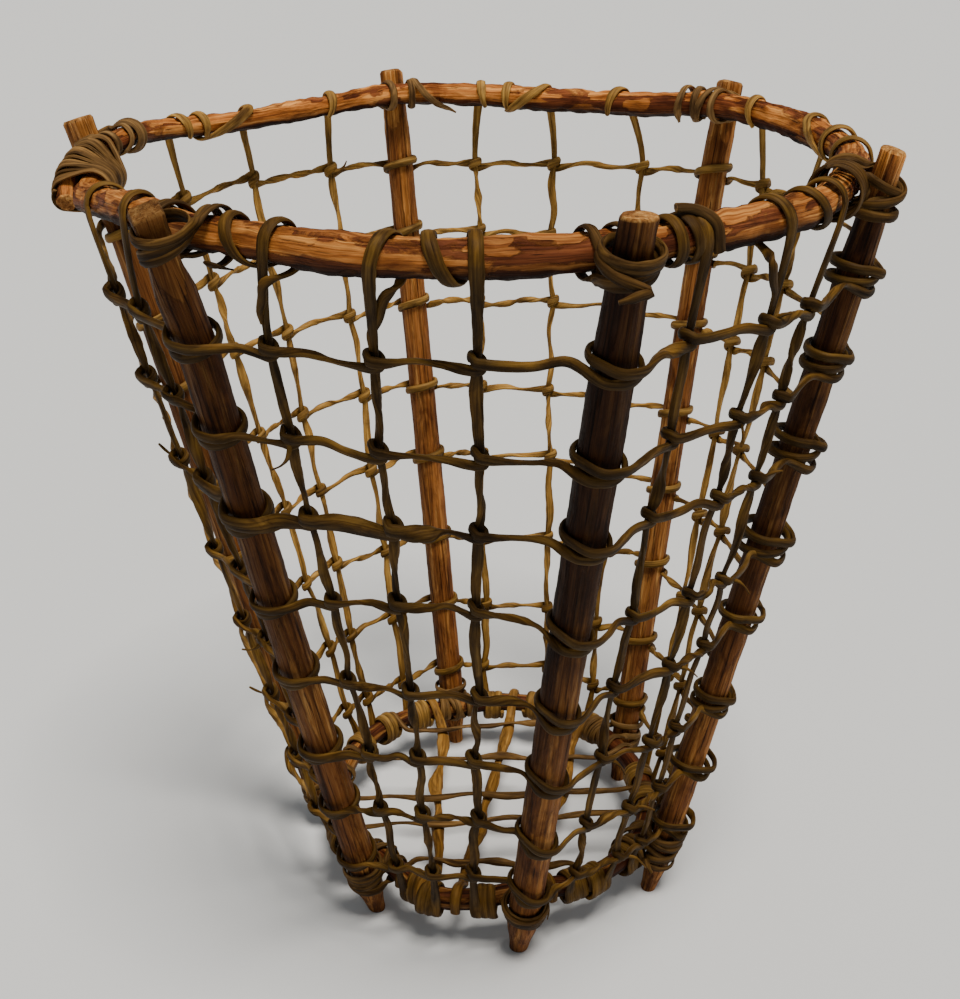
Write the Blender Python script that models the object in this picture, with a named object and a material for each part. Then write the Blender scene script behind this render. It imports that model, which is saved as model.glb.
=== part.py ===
"""A tall, tapering open basket: six peeled stakes, a bent rim stick and a base hoop, netted with withes.

Units are metres and +Z is up. The floor is z = 0. Every piece is worked out about the net's own axis, and
then set so that the middle of the whole basket is over the origin. Azimuths are degrees, anticlockwise seen
from above, and 270 faces the viewer. Upright withes (warps) hang from the rim to the base hoop. Eight level
withes (wefts) run round the basket and take one full turn about each warp and each stake.
"""

import math

import bmesh
import bpy
import numpy as np
from mathutils import Vector

# Overall sizes
RIM_HEIGHT = 0.500
HOOP_HEIGHT = 0.039
RIM_CIRCLE = 0.215
HOOP_CIRCLE = 0.1135

# How far outside the rim's and the hoop's circles the stakes and the net lie
STAKE_OUTSIDE_RIM_DISTANCE = 0.017
STAKE_OUTSIDE_HOOP_DISTANCE = 0.0055
NET_OUTSIDE_RIM_DISTANCE = 0.0125
NET_OUTSIDE_HOOP_DISTANCE = 0.0005

# The lowest height where a weft row clears the turns that bind the stakes to the base hoop
NET_FOOT_HEIGHT = 0.0220

# Where the net's axis stands, because the stakes lean out unequally about it
AXIS_X = 0.0130
AXIS_Y = 0.0031

# Stick and withe sizes
STAKE_RADIUS = 0.0105
STAKE_STAND_HEIGHT = 0.018
STAKE_BOW_DEPTH = 0.0030
RIM_STICK_RADIUS = 0.009
HOOP_STICK_RADIUS = 0.007
WARP_RADIUS = 0.0024
WEFT_RADIUS = 0.0020
LASHING_RADIUS = 0.0020
FLOOR_WITHE_RADIUS = 0.0023

# Clearances between pieces, and of a withe to its own next turn
SEAT_GAP = 0.0003
TURN_GAP = 0.0008
HOOP_SEAT_GAP = 0.0011

# Stakes: name, azimuth at the rim and at the floor, then shares of the two circles, of the thickness,
# of the stand above the rim, of the rise of the rim stick where it is lashed to the stake, and of the bow
STAKES = (
    ("left", 173.4, 174.0, 0.989, 1.022, 0.98, 0.86, 0.70, 0.0),
    ("front_left", 233.6, 223.6, 1.017, 0.926, 0.97, 0.80, 0.00, -1.0),
    ("front", 284.2, 278.9, 1.043, 0.966, 1.03, 1.18, 0.00, 0.0),
    ("right", 334.4, 331.5, 0.967, 1.064, 0.87, 0.82, 0.00, 0.0),
    ("back_right", 43.1, 30.8, 0.993, 1.006, 0.93, 0.82, 0.30, 0.0),
    ("back", 105.4, 103.2, 1.024, 0.975, 0.93, 0.88, 0.30, 0.0),
)
STAKE_SIDES = 10
STAKE_RING_SHARES = (0.0, 0.25, 0.5, 0.75, 1.0)
STAKE_TAPER_SHARES = (0.97, 1.0, 1.0, 0.98, 0.95)
HEWN_FACET_SHARES = (1.0, 0.96, 0.99, 0.95, 0.98)

# Rim stick, run round once from its thick end: azimuth, share of the rim circle and share of the rise
RIM_RISE_HEIGHT = 0.010
RIM_THICK_END = 179.0
RIM_THIN_END = 550.5
RIM_BENDS = (
    (179.0, 1.012, -0.95),
    (185.0, 1.021, -1.15),
    (191.0, 1.025, -1.25),
    (203.0, 0.984, -0.65),
    (217.0, 0.984, -0.10),
    (243.0, 1.000, 0.00),
    (258.0, 1.045, 0.00),
    (270.0, 1.041, 0.00),
    (296.0, 0.995, 0.00),
    (306.0, 0.984, 0.00),
    (317.0, 0.984, 0.00),
    (354.0, 0.967, 0.00),
    (371.5, 0.977, 0.00),
    (384.0, 0.984, 0.15),
    (415.5, 0.923, 0.10),
    (434.5, 0.938, 0.00),
    (450.5, 0.988, 0.15),
    (482.0, 0.956, 0.10),
    (501.0, 0.948, 0.00),
    (511.0, 0.970, 0.10),
    (522.0, 1.010, 0.40),
    (539.0, 1.022, 0.48),
)
RIM_STEPS = 56
HOOP_STEPS = 36
# Thickness of the rim stick along its run
RIM_TAPER_SHARES = (
    (179.0, 0.92),
    (250.0, 1.04),
    (330.0, 1.00),
    (410.0, 0.97),
    (480.0, 0.82),
    (520.0, 0.72),
    (550.5, 0.60),
)
# Beyond one full round the thin end rides on the thick end: its bearing about it, 90 above and 0 outside
SPLICE_BEARINGS = ((539.0, 75.0), (543.0, 35.0), (547.0, -10.0), (550.5, -28.0))

# Warps: azimuth at the rim, at the first weft and at the base hoop, then turns about the rim and how far
# the first turn stands to one side, in degrees
WARPS = (
    (14.5, 17.5, 3.0, 2, -9.0),
    (33.0, 29.5, 10.0, 1, -2.5),
    (59.5, 57.5, 48.0, 1, 2.0),
    (76.5, 75.5, 67.0, 2, 6.0),
    (90.3, 90.5, 90.5, 1, -1.5),
    (119.5, 120.0, 123.0, 1, 2.0),
    (139.5, 137.0, 138.5, 2, 9.0),
    (156.0, 153.5, 147.0, 1, -1.5),
    (202.5, 208.5, 200.5, 1, 1.5),
    (220.0, 218.5, 211.5, 1, -2.5),
    (245.6, 243.0, 240.0, 2, -5.5),
    (258.5, 256.5, 252.5, 1, 2.0),
    (269.0, 269.3, 264.8, 2, -4.0),
    (295.0, 295.0, 296.0, 2, -3.0),
    (309.0, 307.3, 309.5, 1, -2.0),
    (321.5, 316.5, 320.0, 2, -5.5),
    (351.5, 351.5, 350.0, 1, 3.0),
)
WARP_WANDER_DISTANCE = 0.0016
LOOP_STEP = 45.0
TAIL_ANGLE = 225.0

# Wefts: height as a share of the net's, from its lowest place to the rim, and how much higher the row stands
# in the middle of the front
ROW_HEIGHT_SHARES = (0.895, 0.777, 0.662, 0.519, 0.394, 0.253, 0.125, 0.006)
ROW_FRONT_RISE_SHARES = (-0.011, 0.000, 0.014, 0.041, 0.025, 0.039, 0.046, 0.039)
FRONT_MIDDLE = 259.0
FRONT_HALF_SPAN = 33.0
ROW_WANDER_HEIGHT = 0.0018
WEFT_RISE_HEIGHT = 0.0032
WEFT_SEAT_GAP = 0.0007
# A weft's full turn about an upright, corner by corner: the bearing, 0 outside and 90 ahead, the level as
# a share of the rise, and how many withes lie beneath it. The weft comes in low across the outside, climbs
# as it goes round the inside, and leaves above itself and, at a stake, over its own first side.
WARP_TURN = (
    (36.0, -1.4, 0.0),
    (108.0, -0.7, 0.0),
    (180.0, 0.0, 0.0),
    (252.0, 0.7, 0.0),
    (324.0, 1.4, 0.6),
)
STAKE_TURN = (
    (0.0, -1.0, 0),
    (60.0, -0.4, 0),
    (120.0, 0.8, 0),
    (180.0, 1.4, 0),
    (240.0, 1.7, 0),
    (300.0, 1.5, 0),
    (360.0, 0.9, 0),
    (405.0, 0.7, 1),
)

# Floor withes: azimuths of the two places where each is hooked over the base hoop
FLOOR_RUNS_FRONT_TO_BACK = ((246.3, 114.0), (258.6, 79.0), (290.5, 44.0))
FLOOR_RUNS_ACROSS = ((157.5, 21.5), (186.0, 357.5), (205.5, 343.0), (236.3, 303.5), (131.5, 57.0))
FLOOR_HOOK_STEP = 55.0
FLOOR_HOOK_ANGLES = (140.0, 85.0, 30.0, -25.0)
FLOOR_APPROACH_LENGTH = 0.016

# Lashings
LASHING_LOOP_STEPS = 8
RIM_LASHING_RISE_SHARE = 1.46
BASE_LASHING_RISE_SHARE = 1.40
LASHING_SPREAD_SHARE = 1.12
# How far a lashing's line lies from what it binds, as a share of its radius, before the gap is added
RIM_LASHING_LIFT_SHARE = 1.12
BASE_LASHING_LIFT_SHARE = 0.95
SPLICE_TURNS = 7
SPLICE_FROM = 180.6
SPLICE_STEPS = 9
SPLICE_FLARE_SHARE = 1.15


def polar(azimuth, radius, height):
    """The point at this azimuth in degrees, distance from the axis and height."""
    angle = math.radians(azimuth)
    return Vector((radius * math.cos(angle), radius * math.sin(angle), height))


def through(stops, where, period=None):
    """The value at this place on a smooth curve through (place, value) stops, sorted by place."""
    places = [place for place, _ in stops]
    values = [value for _, value in stops]
    if period:
        where = (where - places[0]) % period + places[0]
        places = [places[-1] - period] + places + [places[0] + period, places[1] + period]
        values = [values[-1]] + values + [values[0], values[1]]
    else:
        where = min(max(where, places[0]), places[-1])
        places = [2 * places[0] - places[1]] + places + [2 * places[-1] - places[-2]]
        values = [2 * values[0] - values[1]] + values + [2 * values[-1] - values[-2]]
    i = 1
    while i < len(places) - 3 and where > places[i + 1]:
        i += 1
    span = places[i + 1] - places[i]
    t = (where - places[i]) / span
    start = (values[i + 1] - values[i - 1]) / (places[i + 1] - places[i - 1]) * span
    end = (values[i + 2] - values[i]) / (places[i + 2] - places[i]) * span
    rise = values[i + 1] - values[i]
    return values[i] + t * (start + t * (3 * rise - 2 * start - end + t * (start + end - 2 * rise)))


def stake_line(stake):
    """The stake's centre at the floor and at the rim's height, and how far its middle bows sideways."""
    _, top_azimuth, foot_azimuth, top_share, foot_share = stake[:5]
    foot = polar(foot_azimuth, (HOOP_CIRCLE + STAKE_OUTSIDE_HOOP_DISTANCE) * foot_share, 0)
    top = polar(top_azimuth, (RIM_CIRCLE + STAKE_OUTSIDE_RIM_DISTANCE) * top_share, RIM_HEIGHT)
    return foot, top, polar(top_azimuth + 90, STAKE_BOW_DEPTH * stake[8], 0)


def on_line(line, height):
    """The point of a leaning and slightly bowed line at this height."""
    low, high, bow = line
    share = (height - low.z) / (high.z - low.z)
    return low.lerp(high, share) + bow * (4 * share * (1 - share))


def local_axes(line, height):
    """Along the leaning line, outward and sideways (towards larger azimuths) at this height."""
    low, high, _ = line
    along = (high - low).normalized()
    outward = on_line(line, height)
    outward.z = 0
    outward = (outward - along * outward.dot(along)).normalized()
    return along, outward, along.cross(outward)


def stake_radius(stake, ring=1):
    """The stake's radius at one of its rings: the first is its foot, the last its top and the second its fullest."""
    return STAKE_RADIUS * stake[5] * STAKE_TAPER_SHARES[ring]


def azimuth_of(point):
    return math.degrees(math.atan2(point.y, point.x)) % 360


def seat_distance(line, reach):
    """How far from the axis a level hoop's centre lies from a leaning stake's, so that they clear by reach."""
    low, high, _ = line
    return reach * (high - low).length / (high.z - low.z)


def rim_taper(run):
    """The rim stick's radius at this place on its run."""
    return RIM_STICK_RADIUS * through(RIM_TAPER_SHARES, run)


def rim_stops():
    """The rim stick's run: its distance from the axis and its height, at and between the stakes."""
    reaches = [(run, RIM_CIRCLE * share) for run, share, _ in RIM_BENDS]
    heights = [(run, RIM_HEIGHT + RIM_RISE_HEIGHT * rise) for run, _, rise in RIM_BENDS]
    for stake in STAKES:
        line = stake_line(stake)
        height = RIM_HEIGHT + RIM_RISE_HEIGHT * stake[7]
        centre = on_line(line, height)
        run = rim_run(azimuth_of(centre))
        clear = seat_distance(line, stake_radius(stake, -1) + rim_taper(run) + HOOP_SEAT_GAP)
        reaches.append((run, math.hypot(centre.x, centre.y) - clear))
        heights.append((run, height))
    return sorted(reaches), sorted(heights)


def rim_run(azimuth):
    """The place on the rim stick's run at this azimuth, away from the overlap."""
    return azimuth if azimuth > RIM_THIN_END - 360 else azimuth + 360


def rim_point(run):
    """The centre and radius of the rim stick at this place on its run."""
    first, _ = SPLICE_BEARINGS[0]
    if run <= first:
        reaches, heights = RIM_COURSE
        return polar(run, through(reaches, run), through(heights, run)), rim_taper(run)
    centre, thick = rim_point(run - 360)
    thin = rim_taper(run)
    bearing = math.radians(through(SPLICE_BEARINGS, run))
    apart = thin + thick + SEAT_GAP
    return centre + polar(run, apart * math.cos(bearing), apart * math.sin(bearing)), thin


def rim_frame(azimuth):
    """Centre, radius, outward and sideways directions of the rim stick at this azimuth."""
    run = rim_run(azimuth % 360)
    centre, radius = rim_point(run)
    before, _ = rim_point(max(RIM_THICK_END, run - 1))
    after, _ = rim_point(run + 1)
    sideways = after - before
    sideways.z = 0
    sideways.normalize()
    return centre, radius, Vector((sideways.y, -sideways.x, 0)), sideways


def hoop_stops():
    """Azimuth and distance from the axis of the base hoop's centre: against each stake, and midway."""
    stops = []
    for stake in STAKES:
        line = stake_line(stake)
        centre = on_line(line, HOOP_HEIGHT)
        reach = seat_distance(line, stake_radius(stake, 0) + HOOP_STICK_RADIUS + HOOP_SEAT_GAP)
        stops.append((azimuth_of(centre), math.hypot(centre.x, centre.y) - reach))
    stops.sort()
    following = stops[1:] + [(stops[0][0] + 360, stops[0][1])]
    middles = [(((a + b) / 2) % 360, HOOP_CIRCLE) for (a, _), (b, _) in zip(stops, following)]
    return sorted(stops + middles)


def hoop_point(azimuth):
    return polar(azimuth, through(hoop_stops(), azimuth, 360), HOOP_HEIGHT)


def net_height(share):
    """The height at this share of the net, from its lowest place to the rim."""
    lowest = HOOP_HEIGHT + NET_FOOT_HEIGHT
    return lowest + (RIM_HEIGHT - lowest) * share


def warp_ends(warp):
    """Where the warp leaves the rim, where it meets the first weft and where it meets the base hoop."""
    rim, rim_radius, away, _ = rim_frame(warp[0])
    hoop = hoop_point(warp[2])
    high = rim + away * (rim_radius + WARP_RADIUS + SEAT_GAP)
    low = polar(warp[2], math.hypot(hoop.x, hoop.y) + HOOP_STICK_RADIUS + WARP_RADIUS + SEAT_GAP, HOOP_HEIGHT)
    height = net_height(ROW_HEIGHT_SHARES[0])
    least = HOOP_CIRCLE + NET_OUTSIDE_HOOP_DISTANCE
    most = RIM_CIRCLE + NET_OUTSIDE_RIM_DISTANCE
    return high, polar(warp[1], least + (most - least) * height / RIM_HEIGHT, height), low


def warp_line(warp):
    """The warp's straight course, from the base hoop through the first weft."""
    _, bend, low = warp_ends(warp)
    return low, bend, Vector((0, 0, 0))


def row_height(row, azimuth):
    """The height of a weft row where it meets the upright at this azimuth."""
    away = (azimuth - FRONT_MIDDLE + 180) % 360 - 180
    swell = math.cos(math.radians(90 * away / FRONT_HALF_SPAN)) ** 2 if abs(away) < FRONT_HALF_SPAN else 0.0
    share = ROW_HEIGHT_SHARES[row] + ROW_FRONT_RISE_SHARES[row] * swell
    return net_height(share) + ROW_WANDER_HEIGHT * math.sin(math.radians(3 * azimuth) + 2.4 * row)


def warp_wander(number, row):
    """How far the warp is pulled sideways by a weft row."""
    return WARP_WANDER_DISTANCE * math.sin(1.9 * number + 2.7 * row)


def crossings(row):
    """The uprights that a weft row meets, in order of azimuth: centre, axes, radius and the turn to take."""
    met = []
    for stake in STAKES:
        line = stake_line(stake)
        height = row_height(row, azimuth_of(on_line(line, net_height(ROW_HEIGHT_SHARES[row]))))
        met.append((on_line(line, height), local_axes(line, height), stake_radius(stake), STAKE_TURN))
    for number, warp in enumerate(WARPS):
        line = warp_line(warp)
        height = row_height(row, azimuth_of(on_line(line, net_height(ROW_HEIGHT_SHARES[row]))))
        axes = local_axes(line, height)
        centre = on_line(line, height) + axes[2] * warp_wander(number, row)
        met.append((centre, axes, WARP_RADIUS, WARP_TURN))
    return sorted(met, key=lambda crossing: azimuth_of(crossing[0]))


def weft_course(row):
    """The whole round of a weft row: a full turn about each upright, tilted as the row runs there."""
    met = crossings(row)
    course = []
    for place, crossing in enumerate(met):
        before = met[place - 1][0]
        after = met[(place + 1) % len(met)][0]
        slope = (after.z - before.z) / math.hypot(after.x - before.x, after.y - before.y)
        course += full_turn(*crossing, slope)
    return course


def full_turn(centre, axes, radius, turn, slope):
    """One turn of a weft about an upright."""
    along, outward, sideways = axes
    step = math.radians(turn[1][0] - turn[0][0])
    points = []
    for bearing, level, beneath in turn:
        reach = (radius + WEFT_RADIUS + WEFT_SEAT_GAP) / math.cos(step / 2)
        reach += beneath * (2 * WEFT_RADIUS + TURN_GAP)
        out = reach * math.cos(math.radians(bearing))
        side = reach * math.sin(math.radians(bearing))
        points.append(centre + outward * out + sideways * side + along * (WEFT_RISE_HEIGHT * level + slope * side))
    return points


def outward_of(point):
    return Vector((point.x, point.y, 0)).normalized()


def loop_about(centre, away, reach, angles):
    """Points about a level stick: angle 0 is outside it, 90 above it and 180 inside it."""
    up = Vector((0, 0, 1))
    turns = [math.radians(angle) for angle in angles]
    return [centre + away * (reach * math.cos(turn)) + up * (reach * math.sin(turn)) for turn in turns]


def warp_course(number, warp):
    """Tail, turns about the rim, the run down the net, and the hook under the base hoop."""
    line = warp_line(warp)
    turned = TAIL_ANGLE + 360 * (warp[3] - 1)
    count = round(turned / LOOP_STEP)
    points = []
    for step in range(count + 1):
        angle = turned * (1 - step / count)
        centre, radius, away, _ = rim_frame(warp[0] + warp[4] * angle / turned)
        reach = (radius + WARP_RADIUS + SEAT_GAP) / math.cos(math.radians(LOOP_STEP / 2))
        points += loop_about(centre, away, reach, (angle,))
    for row in range(len(ROW_HEIGHT_SHARES)):
        height = row_height(row, azimuth_of(on_line(line, net_height(ROW_HEIGHT_SHARES[row]))))
        points.append(on_line(line, height) + local_axes(line, height)[2] * warp_wander(number, row))
    hoop = hoop_point(warp[2])
    reach = (HOOP_STICK_RADIUS + WARP_RADIUS + SEAT_GAP) / math.cos(math.radians(LOOP_STEP / 2))
    return points + loop_about(hoop, outward_of(hoop), reach, [-LOOP_STEP * step for step in range(5)])


def floor_course(start, end, level):
    """A floor withe: hooked over the base hoop at both ends and straight between."""
    halves = []
    for azimuth in (start, end):
        hoop = hoop_point(azimuth)
        reach = (HOOP_STICK_RADIUS + FLOOR_WITHE_RADIUS + SEAT_GAP) / math.cos(math.radians(FLOOR_HOOK_STEP / 2))
        hook = loop_about(hoop, outward_of(hoop), reach, FLOOR_HOOK_ANGLES)
        inner = polar(azimuth, math.hypot(hoop.x, hoop.y) - FLOOR_APPROACH_LENGTH, HOOP_HEIGHT + level)
        halves.append([inner] + hook)
    first, second = halves
    return first[::-1] + second


def lashing_course(middle, axes, half_depth, half_height, half_width):
    """Two crossed turns about a stake and a stick that lie one behind the other, the second over the first."""
    along, outward, sideways = axes
    points = []
    steps = LASHING_LOOP_STEPS
    for step in range(2 * steps - 1):
        second = step >= steps
        angle = 2 * math.pi * (step + 0.5) / steps
        depth = half_depth + (2 * LASHING_RADIUS + TURN_GAP if second else 0)
        depth *= squarish(math.cos(angle))
        swing = squarish(math.sin(angle))
        slant = -swing if second else swing
        points.append(middle + outward * depth + sideways * (slant * half_width) + along * (swing * half_height))
    return points


def squarish(wave):
    """A sine or cosine with its crests cut off, so that a loop through it is a square with cut corners."""
    return math.copysign(min(1.0, 1.3 * abs(wave)), wave)


def least_gap(points, radius, cyclic):
    """The least gap of a wound withe to a part of itself that lies more than a few thicknesses along it."""
    ends = points + points[:1] if cyclic else points
    line = []
    places = []
    run = 0.0
    for here, there in zip(ends, ends[1:]):
        length = (there - here).length
        pieces = max(1, math.ceil(length / (radius / 2)))
        for piece in range(pieces):
            line.append(here.lerp(there, piece / pieces))
            places.append(run + length * piece / pieces)
        run += length
    line = np.array(line)
    places = np.array(places)
    least = math.inf
    for index in range(0, len(line), 2):
        apart = np.abs(places - places[index])
        if cyclic:
            apart = np.minimum(apart, run - apart)
        far = apart > 7 * radius
        if far.any():
            least = min(least, np.linalg.norm(line[far] - line[index], axis=1).min())
    return least - 2 * radius


RIM_COURSE = rim_stops()


def material(name, colour, roughness):
    made = bpy.data.materials.new(name)
    made.use_nodes = True
    shader = made.node_tree.nodes["Principled BSDF"]
    shader.inputs["Base Color"].default_value = (*colour, 1.0)
    shader.inputs["Roughness"].default_value = roughness
    shader.inputs["Metallic"].default_value = 0.0
    return made


def tube(name, points, radius, surface, detail=0, cyclic=False, shares=None):
    """A stick or withe of round section along a run of points, with filled ends."""
    curve = bpy.data.curves.new(name, "CURVE")
    curve.dimensions = "3D"
    curve.bevel_depth = radius
    curve.bevel_resolution = detail
    curve.use_fill_caps = True
    spline = curve.splines.new("POLY")
    spline.points.add(len(points) - 1)
    for place, point in enumerate(points):
        spline.points[place].co = (*point, 1.0)
        spline.points[place].radius = shares[place] if shares else 1.0
    spline.use_cyclic_u = cyclic
    made = bpy.data.objects.new(name, curve)
    made.data.materials.append(surface)
    bpy.context.scene.collection.objects.link(made)
    return made


def winding(name, points, radius, surface, cyclic=False):
    """A wound withe, one unbroken tube, whose least gap to itself is measured and printed."""
    print(f"{name}: least gap to itself {1000 * least_gap(points, radius, cyclic):.2f} mm")
    return tube(name, points, radius, surface, cyclic=cyclic)


def hewn_stake(stake, surface):
    """A stake as a loft of level ten-sided rings, hewn except where the hoops lie, with flat-cut ends."""
    line = stake_line(stake)
    top = RIM_HEIGHT + STAKE_STAND_HEIGHT * stake[6]
    mesh = bmesh.new()
    rings = []
    for ring_number, share in enumerate(STAKE_RING_SHARES):
        centre = on_line(line, top * share)
        ring = []
        for side in range(STAKE_SIDES):
            facet = HEWN_FACET_SHARES[(side + 2 * ring_number) % len(HEWN_FACET_SHARES)]
            radius = stake_radius(stake, ring_number) * (1.0 if side == 0 else facet)
            bearing = azimuth_of(centre) + 180 + 360 * side / STAKE_SIDES
            ring.append(mesh.verts.new(centre + polar(bearing, radius, 0)))
        rings.append(ring)
    for lower, upper in zip(rings, rings[1:]):
        for side in range(STAKE_SIDES):
            after = (side + 1) % STAKE_SIDES
            mesh.faces.new((lower[side], lower[after], upper[after], upper[side]))
    mesh.faces.new(rings[0][::-1])
    mesh.faces.new(rings[-1])
    name = f"stake_{stake[0]}"
    data = bpy.data.meshes.new(name)
    mesh.to_mesh(data)
    mesh.free()
    data.shade_smooth()
    data.set_sharp_from_angle(angle=math.radians(30))
    data.materials.append(surface)
    made = bpy.data.objects.new(name, data)
    bpy.context.scene.collection.objects.link(made)
    return made


def rim_hoop(surface):
    """One tapering stick bent round until its thin end lies on its thick end, by the left stake."""
    runs = [RIM_THICK_END + (RIM_THIN_END - RIM_THICK_END) * step / RIM_STEPS for step in range(RIM_STEPS + 1)]
    places = [rim_point(run) for run in runs]
    points = [point for point, _ in places]
    shares = [radius / RIM_STICK_RADIUS for _, radius in places]
    return tube("rim_hoop", points, RIM_STICK_RADIUS, surface, detail=1, shares=shares)


def base_hoop(surface):
    points = [hoop_point(360 * step / HOOP_STEPS) for step in range(HOOP_STEPS)]
    return tube("base_hoop", points, HOOP_STICK_RADIUS, surface, detail=1, cyclic=True)


def lashing(name, stake, ring, stick, stick_radius, away, shares, surface):
    """Crossed turns that bind a level stick to the inside of a stake, at one of its rings, square to the stick."""
    line = stake_line(stake)
    post_radius = stake_radius(stake, ring)
    centre = on_line(line, stick.z)
    rise_share, lift_share = shares
    room = LASHING_RADIUS * lift_share + SEAT_GAP
    along, _, _ = local_axes(line, stick.z)
    sideways = Vector((-away.y, away.x, 0))
    course = lashing_course(
        (centre + stick) / 2 + away * ((post_radius - stick_radius) / 2),
        (along, away, sideways),
        ((centre - stick).length + post_radius + stick_radius) / 2 + room,
        rise_share * (stick_radius + room),
        LASHING_SPREAD_SHARE * (post_radius + room),
    )
    return winding(name, course, LASHING_RADIUS, surface)


def rim_lashing(stake, surface):
    line = stake_line(stake)
    azimuth = azimuth_of(on_line(line, RIM_HEIGHT + RIM_RISE_HEIGHT * stake[7]))
    stick, radius, away, _ = rim_frame(azimuth)
    name = f"rim_lashing_{stake[0]}"
    shares = (RIM_LASHING_RISE_SHARE, RIM_LASHING_LIFT_SHARE)
    return lashing(name, stake, -1, stick, radius, away, shares, surface)


def base_lashing(stake, surface):
    stick = hoop_point(azimuth_of(on_line(stake_line(stake), HOOP_HEIGHT)))
    name = f"base_lashing_{stake[0]}"
    away = outward_of(stick)
    shares = (BASE_LASHING_RISE_SHARE, BASE_LASHING_LIFT_SHARE)
    return lashing(name, stake, 0, stick, HOOP_STICK_RADIUS, away, shares, surface)


def splice_binding(surface):
    """The close coil that binds the rim stick's two ends together."""
    points = []
    pitch = 2 * LASHING_RADIUS + TURN_GAP
    for step in range(SPLICE_TURNS * SPLICE_STEPS + 1):
        azimuth = SPLICE_FROM + math.degrees(pitch * step / SPLICE_STEPS / RIM_CIRCLE)
        thick, thick_radius = rim_point(azimuth)
        thin, thin_radius = rim_point(azimuth + 360)
        between = (thin - thick).normalized()
        across = between.cross(polar(azimuth + 90, 1, 0)).normalized()
        room = LASHING_RADIUS + SEAT_GAP
        middle = (thick - between * thick_radius + thin + between * thin_radius) / 2
        half_long = (thin - thick).length / 2 + (thick_radius + thin_radius) / 2 + room
        angle = 2 * math.pi * step / SPLICE_STEPS
        flare = SPLICE_FLARE_SHARE
        along = between * (half_long * flare * math.cos(angle))
        points.append(middle + along + across * ((thick_radius + room) * flare * math.sin(angle)))
    return winding("rim_splice_binding", points, LASHING_RADIUS, surface)


def main():
    for old in list(bpy.data.objects):
        bpy.data.objects.remove(old, do_unlink=True)
    stake_wood = material("stake_wood", (0.36, 0.17, 0.06), 0.6)
    rim_wood = material("rim_wood", (0.24, 0.10, 0.045), 0.5)
    withe = material("withe", (0.22, 0.14, 0.055), 0.6)
    binding = material("binding", (0.15, 0.11, 0.07), 0.7)
    for stake in STAKES:
        hewn_stake(stake, stake_wood)
    rim_hoop(rim_wood)
    base_hoop(rim_wood)
    for row in range(len(ROW_HEIGHT_SHARES)):
        winding(f"weft_row_{row + 1}", weft_course(row), WEFT_RADIUS, withe, cyclic=True)
    for number, warp in enumerate(WARPS):
        winding(f"warp_{number + 1:02d}", warp_course(number, warp), WARP_RADIUS, withe)
    level = FLOOR_WITHE_RADIUS + SEAT_GAP / 2
    for number, (start, end) in enumerate(FLOOR_RUNS_FRONT_TO_BACK):
        tube(f"floor_withe_long_{number + 1}", floor_course(start, end, -level), FLOOR_WITHE_RADIUS, withe)
    for number, (start, end) in enumerate(FLOOR_RUNS_ACROSS):
        tube(f"floor_withe_cross_{number + 1}", floor_course(start, end, level), FLOOR_WITHE_RADIUS, withe)
    for stake in STAKES:
        rim_lashing(stake, binding)
        base_lashing(stake, binding)
    splice_binding(binding)
    for made in bpy.context.scene.collection.objects:
        made.location = (AXIS_X, AXIS_Y, 0)


main()
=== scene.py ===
"""The looks of a tall open basket: six peeled stakes, a bent rim stick, a base hoop and a net of withes.

Units are metres and +Z is up. Azimuths are degrees about the net's own axis, anticlockwise seen from above,
and 270 faces the viewer. The sizes and the courses of the sticks and withes are those of the solid model.
"""

import math
import random

import bpy
import numpy as np
from mathutils import Matrix, Vector, noise


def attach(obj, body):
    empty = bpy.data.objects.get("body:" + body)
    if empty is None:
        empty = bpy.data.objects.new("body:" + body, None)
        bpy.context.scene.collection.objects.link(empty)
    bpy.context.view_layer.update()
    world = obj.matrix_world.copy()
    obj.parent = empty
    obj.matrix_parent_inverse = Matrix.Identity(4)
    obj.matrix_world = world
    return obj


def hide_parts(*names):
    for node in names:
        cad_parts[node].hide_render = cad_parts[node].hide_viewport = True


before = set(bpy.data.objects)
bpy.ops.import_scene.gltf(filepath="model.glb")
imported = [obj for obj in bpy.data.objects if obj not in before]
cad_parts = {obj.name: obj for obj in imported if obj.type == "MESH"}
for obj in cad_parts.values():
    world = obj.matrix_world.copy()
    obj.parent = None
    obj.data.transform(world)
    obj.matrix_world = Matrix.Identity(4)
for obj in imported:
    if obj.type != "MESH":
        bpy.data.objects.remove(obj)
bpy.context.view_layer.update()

# Overall sizes
RIM_HEIGHT = 0.500
HOOP_HEIGHT = 0.039
RIM_CIRCLE = 0.215
HOOP_CIRCLE = 0.1135

# How far outside the rim's and the hoop's circles the stakes and the net lie
STAKE_OUTSIDE_RIM_DISTANCE = 0.017
STAKE_OUTSIDE_HOOP_DISTANCE = 0.0055
NET_OUTSIDE_RIM_DISTANCE = 0.0125
NET_OUTSIDE_HOOP_DISTANCE = 0.0005

# The lowest height where a weft row clears the turns that bind the stakes to the base hoop
NET_FOOT_HEIGHT = 0.0220

# Where the net's axis stands, because the stakes lean out unequally about it
AXIS_X = 0.0130
AXIS_Y = 0.0031

# Stick and withe sizes
STAKE_RADIUS = 0.0105
STAKE_STAND_HEIGHT = 0.018
STAKE_BOW_DEPTH = 0.0030
RIM_STICK_RADIUS = 0.009
HOOP_STICK_RADIUS = 0.007
WARP_RADIUS = 0.0024
FLOOR_WITHE_RADIUS = 0.0023

# Clearances between pieces
SEAT_GAP = 0.0003
HOOP_SEAT_GAP = 0.0011

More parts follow.
